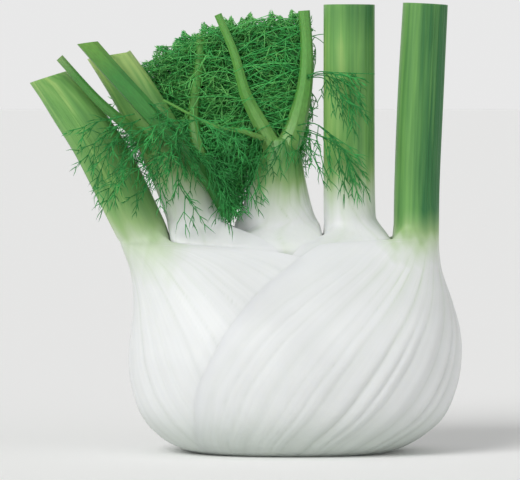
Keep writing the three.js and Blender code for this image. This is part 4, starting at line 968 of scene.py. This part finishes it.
def strand_mesh(name, strand):
    """All the threads of a strand as one mesh of slim three-sided points, each closed at its root."""
    triangle = np.arange(3) * 2 * math.pi / 3
    points, faces, tones = [], [], []
    start = 0

    def ring(centre, first, second, radius):
        cos, sin = (values[None, :, None] for values in (np.cos(triangle), np.sin(triangle)))
        spread = first[:, None] * cos + second[:, None] * sin
        return centre[:, None] + spread * radius[:, None, None]

    def add(blocks, pattern, tone):
        nonlocal start
        block = np.concatenate(blocks, axis=1)
        count, size = block.shape[:2]
        points.append(block.reshape(-1, 3))
        first_points = start + (np.arange(count) * size)[:, None, None]
        faces.append((np.array(pattern)[None] + first_points).reshape(-1, 3))
        tones.append(np.repeat(tone, size))
        start += count * size

    closed_foot = [(0, 2, 1)]
    sleeve = [face for n in range(3) for m in [(n + 1) % 3] for face in ((n, m, 3 + n), (m, 3 + m, 3 + n))]
    for roots, tips, bend, tone, radius in strand["shoots"]:
        first, second = sides_of(unit(tips - roots))
        thick = np.full(len(roots), radius)
        middle = mix(roots, tips, BEND_PLACE) + bend
        bent = ring(middle, first, second, thick * BEND_THICKNESS)
        add([ring(roots, first, second, thick), bent, tips[:, None]],
            closed_foot + sleeve + [(3 + n, 3 + (n + 1) % 3, 6) for n in range(3)], tone)
    for roots, tips, _, tone, radius in strand["tines"]:
        first, second = sides_of(unit(tips - roots))
        add([ring(roots, first, second, np.full(len(roots), radius)), tips[:, None]],
            closed_foot + [(0, 1, 3), (1, 2, 3), (2, 0, 3)], tone)
    if strand["rods"]:
        roots, tips = (np.array([row[k] for row in strand["rods"]]) for k in (0, 1))
        radii = np.array([row[2:4] for row in strand["rods"]])
        first, second = sides_of(unit(tips - roots))
        add([ring(roots, first, second, radii[:, 0]), ring(tips, first, second, radii[:, 1])],
            closed_foot + [(3, 4, 5)] + sleeve,
            np.array([row[4] for row in strand["rods"]]))
    points, faces, tones = np.concatenate(points), np.concatenate(faces), np.concatenate(tones)
    points[:, 1] = drawn_in(points[:, 1])
    mesh = bpy.data.meshes.new(name)
    mesh.vertices.add(len(points))
    mesh.vertices.foreach_set("co", (points * MM).astype(np.float32).ravel())
    mesh.loops.add(len(faces) * 3)
    mesh.loops.foreach_set("vertex_index", faces.astype(np.int32).ravel())
    mesh.polygons.add(len(faces))
    mesh.polygons.foreach_set("loop_start", np.arange(0, len(faces) * 3, 3, dtype=np.int32))
    attribute = mesh.attributes.new("tone", "FLOAT", "POINT")
    attribute.data.foreach_set("value", tones.astype(np.float32))
    mesh.update(calc_edges=True)
    mesh.validate()
    piece = bpy.data.objects.new(name, mesh)
    bpy.context.scene.collection.objects.link(piece)
    return piece


def stem_rows(stem, steps):
    """Rows of points round a stem, with fine ridges and a rounded, closed tip and root, and how far along
    it each row is."""
    path = smooth_path(stem["line"], steps)
    ahead = unit(np.gradient(path, axis=0))
    first, second = sides_of(ahead)
    for i in range(1, len(path)):
        # carry the sides along, so that the ridges don't twist
        first[i] = unit(first[i - 1] - ahead[i] * (first[i - 1] @ ahead[i]))
        second[i] = np.cross(ahead[i], first[i])
    turn = np.arange(STEM_SIDES) * 2 * math.pi / STEM_SIDES
    ridges = 1 - STEM_RIDGE * np.abs(np.sin(turn * 4))
    radii = stem["end"] + (stem["start"] - stem["end"]) * np.linspace(1, 0, len(path)) ** 2
    rows = []
    for i, radius in enumerate(radii):
        spread = first[i] * np.cos(turn)[:, None] + second[i] * np.sin(turn)[:, None]
        rows.append(path[i] + spread * (radius * ridges)[:, None])
    # its last quarter slants more and more, up to how level it is cut
    sloped = len(path) // 4
    for back in range(sloped):
        row = rows[len(path) - 1 - back]
        slope = stem.get("level", 0.0) * (path[-1 - back, 2] - row[:, 2]) / ahead[-1, 2] * (1 - back / sloped)
        row += ahead[-1] * slope[:, None]
    for share, sink in STEM_TIP:
        rows.append(path[-1] + (rows[len(path) - 1] - path[-1]) * share + ahead[-1] * sink * radii[-1])
    for share in (0.5, 0.0):
        rows.insert(0, path[0] + (rows[0] - path[0]) * share)
    along = np.cumsum(np.linalg.norm(np.diff(path, axis=0), axis=1))
    return np.array(rows), np.concatenate([[0, 0, 0], along, [along[-1]] * len(STEM_TIP)])


def model_stem(name, stem, steps):
    """One stem as a closed tube. Its texture runs round it, and from 0 at its foot to 1 at its tip."""
    rows, lengths = stem_rows(stem, steps)
    uv = np.zeros((len(rows), STEM_SIDES + 1, 2))
    uv[:, :, 0] = np.linspace(0, STEM_TURNS, STEM_SIDES + 1)
    uv[:, :, 1] = lengths[:, None] / lengths[-1]
    return grid_piece(name, rows, uv)


# --- Materials ------------------------------------------------------------------------------------------

# Scales of the patterns: cells to a metre, and the real size that this gives.
STALK_FIBRES = 850.0  # fibres 1.2 mm apart
STALK_BUNDLES = 260.0  # bundles of fibres 4 mm apart
FLESH_PATCHES = 38.0  # patches 26 mm across
PITH_GRAINS = 900.0  # cells of the pith 1.1 mm across, coarser than real ones, which wouldn't show
ROOT_RINGS = 60.0  # old leaf bases 5 to 8 mm apart
THREAD_MOTTLE = 120.0  # 8 mm long
# And where the pattern follows a piece's own texture: cells to one of its units.
RIB_FIBRES = 5.5  # nearly three to a rib
STEM_FIBRES = 9.0  # 36 round a stem

TONGUE = 9  # length of the tongues in which the green fades into the white
BLEND = dict(data_type="RGBA")
MULTIPLY = dict(data_type="RGBA", blend_type="MULTIPLY")


def add_node(tree, kind, inputs=None, stops=(), out=None, **settings):
    """Adds one node with its settings, and what feeds each input, a value or another node's socket. Gives
    the named output socket, or else the first in use."""
    made = tree.nodes.new("ShaderNode" + kind)
    for key, value in settings.items():
        setattr(made, key, value)
    for key, value in (inputs or {}).items():
        if isinstance(key, str):
            key = next(n for n, socket in enumerate(made.inputs) if socket.enabled and socket.name == key)
        socket = made.inputs[key]
        if isinstance(value, bpy.types.NodeSocket):
            tree.links.new(value, socket)
        else:
            socket.default_value = value
    if stops:
        elements = made.color_ramp.elements
        elements.remove(elements[1])
        elements[0].position, elements[0].color = stops[0][0], (*stops[0][1], 1)
        for place, color in stops[1:]:
            elements.new(place).color = (*color, 1)
    return made.outputs[out] if out else next((socket for socket in made.outputs if socket.enabled), None)


def new_material(name, shader):
    """A material with its shader set, and its tree and shader node."""
    material = bpy.data.materials.new(name)
    material.use_nodes = True
    tree = material.node_tree
    tree.nodes.clear()
    surface = add_node(tree, "BsdfPrincipled", shader)
    add_node(tree, "OutputMaterial", {"Surface": surface})
    return material, tree, surface.node


def colors_of(settings, *keys):
    """Colours out of the settings, as plain tuples."""
    return [tuple(getattr(settings, key)) for key in keys]


def skin_material(name, leaf, settings):
    """Fennel leaf skin: blanched white flesh under a thin wax, which gives a satin sheen and lets a little
    light through, and green stalk with long fibres, which shows as stripes of lighter and darker green."""
    material, tree, surface = new_material(
        name, {"Roughness": 0.42, "Subsurface Weight": 0.18, "Subsurface Radius": (1.0, 0.95, 0.75),
               "Subsurface Scale": 2.5 * MM, "IOR": 1.4, "Specular IOR Level": 0.42})
    white, pale, light, deep, bright, vein_tint_and_groove_shade, groove_shade_color, foot = colors_of(
        settings, "white", "pale_green", "light_green", "deep_green", "young_green", "vein_tint_and_groove_shade", "groove",
        "greyed_foot_and_shade")
    on_leaf = add_node(tree, "TexCoord", out="UV")
    place = add_node(tree, "TexCoord", out="Object")
    height = add_node(tree, "Attribute", attribute_name="rise", out="Fac")
    # fibres run along the leaf: on the sheath they follow its ribs, on the stalk they run straight up it
    rib_map = add_node(tree, "Mapping", {"Vector": on_leaf, "Scale": (1.0, 0.05, 1.0)})
    rib_fibres = add_node(tree, "TexNoise", {"Vector": rib_map, "Scale": RIB_FIBRES, "Detail": 3.0},
                          noise_dimensions="2D")
    fibre = add_node(tree, "Attribute", attribute_name="fibre", out="Vector")
    stalk_fibres = add_node(tree, "TexNoise", {"Vector": fibre, "Scale": STALK_FIBRES, "Detail": 1.5})
    bundles = add_node(tree, "TexNoise", {"Vector": fibre, "Scale": STALK_BUNDLES, "Detail": 1.0})
    on_stalk = add_node(tree, "MapRange", {"Value": height, "From Min": 64 * MM, "From Max": 78 * MM})
    fibres = add_node(tree, "Mix", {"Factor": on_stalk, "A": rib_fibres, "B": stalk_fibres},
                      data_type="FLOAT")
    # the green fades into the white in tongues along the bundles
    low, high = leaf["green"]
    tongue = TONGUE * MM
    shifted = add_node(tree, "Math", {0: bundles, 1: tongue, 2: height}, operation="MULTIPLY_ADD")
    share = add_node(tree, "MapRange", {"Value": shifted, "From Min": low * MM + tongue / 2,
                                        "From Max": high * MM + tongue / 2})
    hint = tuple(mix(np.array(white), np.array(pale), 0.3))
    by_height = add_node(tree, "ValToRGB", {"Fac": share},
                         stops=[(0.0, white), (0.25, hint), (0.62, pale), (1.0, light)])
    # one side of a stalk is painted a deeper green than the other: painted shade, deeper on its right, away
    # from the key light at the upper left; its cut end differs again
    left, right, end = leaf["tone"]
    across = add_node(tree, "SeparateXYZ", {"Vector": fibre}, out="X")
    aside = add_node(tree, "MapRange", {"Value": across, "From Min": -STALK_HALF * MM,
                                        "From Max": STALK_HALF * MM, "To Min": left, "To Max": right},
                     interpolation_type="SMOOTHSTEP")
    near_end = add_node(tree, "MapRange", {"Value": height, "From Min": (leaf["top"] - 14) * MM,
                                           "From Max": (leaf["top"] - 3) * MM, "To Min": 0.0,
                                           "To Max": end - (left + right) / 2})
    shade = add_node(tree, "Math", {0: aside, 1: near_end}, operation="ADD")
    fine, broad = (add_node(tree, "MapRange", {"Value": stripes, "From Min": 0.3, "From Max": 0.7,
                                               "To Min": -strength, "To Max": strength})
                   for stripes, strength in ((stalk_fibres, 0.22), (bundles, 0.2)))
    striped = add_node(tree, "Math", {0: fine, 1: broad}, operation="ADD")
    tone = add_node(tree, "Math", {0: shade, 1: striped}, operation="ADD")
    depth = add_node(tree, "MapRange", {"Value": tone, "From Min": -0.8, "From Max": 1.2})
    greens = add_node(tree, "ValToRGB", {"Fac": depth},
                      stops=[(0.0, bright), (0.4, light), (0.9, deep), (1.0, deep)])
    green = add_node(tree, "MapRange", {"Value": share, "From Min": 0.45, "From Max": 1.0})
    skin = add_node(tree, "Mix", {"Factor": green, "A": by_height, "B": greens}, **BLEND)
    # towards the cut root the flesh is greyer and greener: partly its own tint, partly painted shade on the
    # bulb's underside
    up = add_node(tree, "SeparateXYZ", {"Vector": place}, out="Z")
    foot_tint_shade_share = add_node(tree, "MapRange", {"Value": up, "From Max": 22 * MM, "To Min": 0.75, "To Max": 0.0},
                        interpolation_type="SMOOTHERSTEP")
    foot_tint_shaded = add_node(tree, "Mix", {"Factor": foot_tint_shade_share, "A": skin, "B": (*foot, 1)}, **MULTIPLY)
    # the grooves are painted darker than the ribs, as painted shade in the creases; towards the stalk the
    # paint is greener, as the veins are
    near = add_node(tree, "Attribute", attribute_name="groove", out="Fac")
    upper = add_node(tree, "MapRange", {"Value": height, "From Min": 34 * MM, "From Max": 62 * MM})
    groove = add_node(tree, "Mix", {"Factor": upper, "A": (*groove_shade_color, 1), "B": (*vein_tint_and_groove_shade, 1)}, **BLEND)
    strong = add_node(tree, "MapRange", {"Value": upper, "To Min": 0.4, "To Max": 0.7})
    groove_shade_share = add_node(tree, "Math", {0: near, 1: strong}, operation="MULTIPLY")
    groove_shaded = add_node(tree, "Mix", {"Factor": groove_shade_share, "A": foot_tint_shaded, "B": groove}, **MULTIPLY)
    # the flesh isn't evenly white: broad soft patches, and long faint fibres
    patches = add_node(tree, "TexNoise", {"Vector": place, "Scale": FLESH_PATCHES, "Detail": 2.0})
    uneven = add_node(tree, "MapRange", {"Value": patches, "From Min": 0.35, "From Max": 0.7,
                                         "To Min": 1.0, "To Max": 0.93})
    patched = add_node(tree, "Mix", {"Factor": 1.0, "A": groove_shaded, "B": uneven}, **MULTIPLY)
    faint = add_node(tree, "MapRange", {"Value": fibres, "From Min": 0.3, "From Max": 0.7,
                                        "To Min": 1.0, "To Max": 0.965})
    finished = add_node(tree, "Mix", {"Factor": 1.0, "A": patched, "B": faint}, **MULTIPLY)
    tree.links.new(finished, surface.inputs["Base Color"])
    relief = add_node(tree, "Bump", {"Height": fibres, "Distance": 0.12 * MM, "Strength": 0.5})
    tree.links.new(relief, surface.inputs["Normal"])
    return material


def cut_material(settings):
    """A cut stalk: moist spongy pith with a ring of darker bundles inside the green skin, dull and slightly
    grainy."""
    material, tree, surface = new_material("fennel_cut_pith", {"Roughness": 0.6, "Subsurface Weight": 0.2,
                                                               "Subsurface Scale": 1.5 * MM})
    light, deep, pith = colors_of(settings, "light_green", "deep_green", "pith")
    on_cut = add_node(tree, "TexCoord", out="UV")
    from_middle = add_node(tree, "SeparateXYZ", {"Vector": on_cut}, out="Y")
    rings = add_node(tree, "ValToRGB", {"Fac": from_middle},
                     stops=[(0.0, pith), (0.72, pith), (0.86, light), (0.97, deep), (1.0, deep)])
    place = add_node(tree, "TexCoord", out="Object")
    grains = add_node(tree, "TexVoronoi", {"Vector": place, "Scale": PITH_GRAINS})
    tint = add_node(tree, "MapRange", {"Value": grains, "From Max": 0.6, "To Min": 0.82, "To Max": 1.05})
    finished = add_node(tree, "Mix", {"Factor": 1.0, "A": rings, "B": tint}, **MULTIPLY)
    tree.links.new(finished, surface.inputs["Base Color"])
    relief = add_node(tree, "Bump", {"Height": grains, "Distance": 0.2 * MM, "Strength": 0.6})
    tree.links.new(relief, surface.inputs["Normal"])
    return material


def root_material():
    """The cut root plate: dried fibrous flesh, tan with darker rings of old leaf bases, dull and rough."""
    material, tree, surface = new_material("fennel_cut_root", {"Roughness": 0.75})
    place = add_node(tree, "TexCoord", out="Object")
    stretched = add_node(tree, "Mapping", {"Vector": place, "Scale": (0.65, 1.0, 0.2)})
    rings = add_node(tree, "TexWave", {"Vector": stretched, "Scale": ROOT_RINGS, "Distortion": 3.5,
                                       "Detail": 3.0, "Detail Scale": 2.0},
                     wave_type="RINGS", rings_direction="SPHERICAL", out="Fac")
    color = add_node(tree, "ValToRGB", {"Fac": rings},
                     stops=[(0.0, linear("#A8956B")), (0.45, linear("#C9BA92")), (1.0, linear("#DAD2B4"))])
    tree.links.new(color, surface.inputs["Base Color"])
    relief = add_node(tree, "Bump", {"Height": rings, "Distance": 0.3 * MM, "Strength": 0.7})
    tree.links.new(relief, surface.inputs["Normal"])
    return material


def thread_material(settings):
    """Frond threads: thin green leaf, slightly waxy, so that they catch soft lights. Each spray has its own
    tone, and they are a little uneven along their length."""
    material, tree, surface = new_material("fennel_frond_thread", {"Roughness": 0.48,
                                                                   "Specular IOR Level": 0.35})
    shaded, dark, light = colors_of(settings, "shaded", "dark", "light")
    tone = add_node(tree, "Attribute", attribute_name="tone", out="Fac")
    color = add_node(tree, "ValToRGB", {"Fac": tone}, stops=[(0.0, shaded), (0.3, dark), (1.0, light)])
    place = add_node(tree, "TexCoord", out="Object")
    mottle = add_node(tree, "TexNoise", {"Vector": place, "Scale": THREAD_MOTTLE})
    shade = add_node(tree, "MapRange", {"Value": mottle, "From Min": 0.3, "From Max": 0.7,
                                        "To Min": 0.8, "To Max": 1.15})
    finished = add_node(tree, "Mix", {"Factor": 1.0, "A": color, "B": shade}, **MULTIPLY)
    tree.links.new(finished, surface.inputs["Base Color"])
    return material


def stem_material(name, root, middle, tip):
    """Frond stems: ribbed green stalk, of another green at its foot and at its cut tip, with fibres along
    it. The texture runs from 0 at the foot to 1 at the tip."""
    material, tree, surface = new_material(name, {"Roughness": 0.42, "Subsurface Weight": 0.1,
                                                  "Subsurface Scale": 1.5 * MM, "Specular IOR Level": 0.45})
    on_stem = add_node(tree, "TexCoord", out="UV")
    along = add_node(tree, "SeparateXYZ", {"Vector": on_stem}, out="Y")
    base = add_node(tree, "ValToRGB", {"Fac": along},
                    stops=[(0.0, root), (0.45, middle), (0.8, middle), (1.0, tip)])
    fibre_map = add_node(tree, "Mapping", {"Vector": on_stem, "Scale": (1.0, 3.0, 1.0)})
    fibres = add_node(tree, "TexNoise", {"Vector": fibre_map, "Scale": STEM_FIBRES, "Detail": 2.0},
                      noise_dimensions="2D")
    shade = add_node(tree, "MapRange", {"Value": fibres, "From Min": 0.3, "From Max": 0.7,
                                        "To Min": 1.06, "To Max": 0.86})
    finished = add_node(tree, "Mix", {"Factor": 1.0, "A": base, "B": shade}, **MULTIPLY)
    tree.links.new(finished, surface.inputs["Base Color"])
    relief = add_node(tree, "Bump", {"Height": fibres, "Distance": 0.1 * MM, "Strength": 0.5})
    tree.links.new(relief, surface.inputs["Normal"])
    return material


# --- Operators ------------------------------------------------------------------------------------------

class FENNEL_OT_leaves(bpy.types.Operator):
    """Models the five leaves: ribbed sheaths that run up into cut stalks"""

    bl_idname = "fennel.leaves"
    bl_label = "Leaves"

    def execute(self, context):
        settings = context.scene.fennel_leaves
        cut = cut_material(settings)
        for layer, (name, leaf) in enumerate(LEAVES.items()):
            piece = model_leaf(name, leaf, layer, settings, cut)
            self.report({"INFO"}, f"{name}: {len(piece.data.polygons)} faces")
        return {"FINISHED"}


class FENNEL_OT_root_plate(bpy.types.Operator):
    """Finishes the cut root plate under the bulb"""

    bl_idname = "fennel.root_plate"
    bl_label = "Root plate"

    def execute(self, context):
        turn = np.linspace(0, 2 * math.pi, PLATE_SIDES + 1)[:-1]
        turn = np.where(turn > math.pi, turn - 2 * math.pi, turn)
        sides = []
        for z in PLATE_HEIGHTS:
            x, y = outline(z, turn, depth_of(2, z, turn) - DEEP_GAP + PLATE_GAP)
            left, right = (curve(LEAVES[OUTERMOST_IN[i]]["inner"], z) for i in (1, 0))
            x = within(x, left + PLATE_GAP, right - PLATE_GAP, INSIDE_CORNER)
            sides.append(np.stack([x, y, np.full_like(x, z)], axis=1))
        below, above = ([rim.mean(axis=0) + (rim - rim.mean(axis=0)) * share for share in PLATE_SHARES]
                        for rim in (sides[0], sides[-1]))
        rows = np.array(below + sides + above[::-1])
        uv = np.zeros((len(rows), PLATE_SIDES + 1, 2))
        uv[:, :-1] = rows[:, :, :2] / 10
        uv[:, -1] = uv[:, 0]
        plate = grid_piece("root_plate_cut", rows, uv)
        finish_piece(plate, "root_plate", [root_material()])
        return {"FINISHED"}


class FENNEL_OT_fronds(bpy.types.Operator):
    """Grows the two fronds: ribbed stems, and sprays of fine threads cut off along an arc"""

    bl_idname = "fennel.fronds"
    bl_label = "Fronds"

    def execute(self, context):
        settings = context.scene.fennel_fronds
        threads = thread_material(settings)
        root, green = colors_of(settings, "stem_root", "stem")
        green_stem = stem_material("fennel_frond_stem", root, green, green)
        dark_stem = stem_material("fennel_dark_stem", *(linear(shade) for shade in DARK_STEM))
        for name, frond in FRONDS.items():
            random = np.random.RandomState(frond["seed"])
            turn = float(frond["seed"])
            for number, stem in enumerate(frond["stems"], 1):
                strand = {"rods": [], "shoots": [], "tines": []}
                turn = stem_sprays(stem, turn, random, settings, strand)
                if number == 1:
                    placed_sprays(frond, random, settings, strand)
                piece = strand_mesh(f"{name}_threads_{number}", strand)
                finish_piece(piece, name, [threads], angle=180)
                piece = model_stem(f"{name}_stem_{number}", stem, STEM_RINGS)
                finish_piece(piece, name, [dark_stem if stem.get("dark") else green_stem])
        return {"FINISHED"}


class FENNEL_OT_side_stalk(bpy.types.Operator):
    """Models the thin side stalk of the middle left leaf"""

    bl_idname = "fennel.side_stalk"
    bl_label = "Side stalk"

    def execute(self, context):
        skin = stem_material("fennel_side_stalk", *(linear(shade) for shade in SIDE_STALK))
        branch = model_stem("leaf_middle_left_side_stalk", BRANCH, BRANCH_RINGS)
        finish_piece(branch, "leaf_middle_left", [skin])
        return {"FINISHED"}


class FENNEL_OT_stage(bpy.types.Operator):
    """Sets up the floor, the soft lights and the camera"""

    bl_idname = "fennel.stage"
    bl_label = "Stage"

    def execute(self, context):
        settings = context.scene.fennel_stage
        deselect_all()
        bpy.ops.mesh.primitive_plane_add(size=FLOOR_SIZE)
        floor = context.object
        floor.name = "floor"
        material, _, _ = new_material("matt_paper_floor", {"Roughness": 0.9,
                                                           "Base Color": (*settings.floor, 1)})
        floor.data.materials.append(material)
        middle = Vector(VIEW_MIDDLE) * MM
        for name, place, power, softness in LIGHTS:
            bpy.ops.object.light_add(type="SUN", location=place)
            light = context.object
            light.name = name
            light.data.energy = getattr(settings, power)
            light.data.angle = math.radians(softness)
            light.rotation_euler = (middle - light.location).to_track_quat("-Z", "Y").to_euler()
        # a studio as bright as the floor near the horizon, and softer overhead
        world = bpy.data.worlds.new("studio")
        world.use_nodes = True
        tree = world.node_tree
        tree.nodes.clear()
        way = add_node(tree, "TexCoord", out="Generated")
        up = add_node(tree, "SeparateXYZ", {"Vector": way}, out="Z")
        glow = add_node(tree, "MapRange", {"Value": up, "From Min": 0.05, "From Max": 0.5,
                                           "To Min": settings.horizon, "To Max": settings.overhead})
        sky = add_node(tree, "Background", {"Color": (1, 1, 1, 1), "Strength": glow})
        add_node(tree, "OutputWorld", {"Surface": sky})
        context.scene.world = world
        elevation = settings.camera_elevation
        bpy.ops.object.camera_add()
        camera = context.object
        way = Vector((0, -math.cos(elevation), math.sin(elevation)))
        camera.location = middle + settings.camera_distance * way
        camera.rotation_euler = (math.pi / 2 - elevation, 0, 0)
        camera.data.sensor_width = SENSOR_WIDTH
        camera.data.lens = camera.data.sensor_width * settings.camera_distance / (VIEW_WIDTH * MM)
        camera.data.clip_end = FLOOR_SIZE
        context.scene.camera = camera
        context.scene.view_settings.view_transform = "Standard"
        return {"FINISHED"}


class FENNEL_PT_panel(bpy.types.Panel):
    """Sizes, colours and pieces of the fennel bulb"""

    bl_label = "Fennel bulb"
    bl_idname = "FENNEL_PT_panel"
    bl_space_type = "VIEW_3D"
    bl_region_type = "UI"
    bl_category = "Fennel"

    def draw(self, context):
        for key, group in SETTINGS.items():
            box = self.layout.box()
            for name in group.__annotations__:
                box.prop(getattr(context.scene, key), name)
        for operator in OPERATORS:
            self.layout.operator(operator.bl_idname)


SETTINGS = {"fennel_leaves": FennelLeafSettings, "fennel_fronds": FennelFrondSettings,
            "fennel_stage": FennelStageSettings}
OPERATORS = (FENNEL_OT_leaves, FENNEL_OT_side_stalk, FENNEL_OT_root_plate, FENNEL_OT_fronds, FENNEL_OT_stage)
CLASSES = (*SETTINGS.values(), *OPERATORS, FENNEL_PT_panel)


def register():
    for made in CLASSES:
        bpy.utils.register_class(made)
    for key, group in SETTINGS.items():
        setattr(bpy.types.Scene, key, PointerProperty(type=group))


def unregister():
    for key in SETTINGS:
        delattr(bpy.types.Scene, key)
    for made in reversed(CLASSES):
        bpy.utils.unregister_class(made)


def main():
    register()
    bpy.ops.fennel.leaves()
    bpy.ops.fennel.side_stalk()
    bpy.ops.fennel.root_plate()
    bpy.ops.fennel.fronds()
    bpy.ops.fennel.stage()


if __name__ == "__main__":
    main()
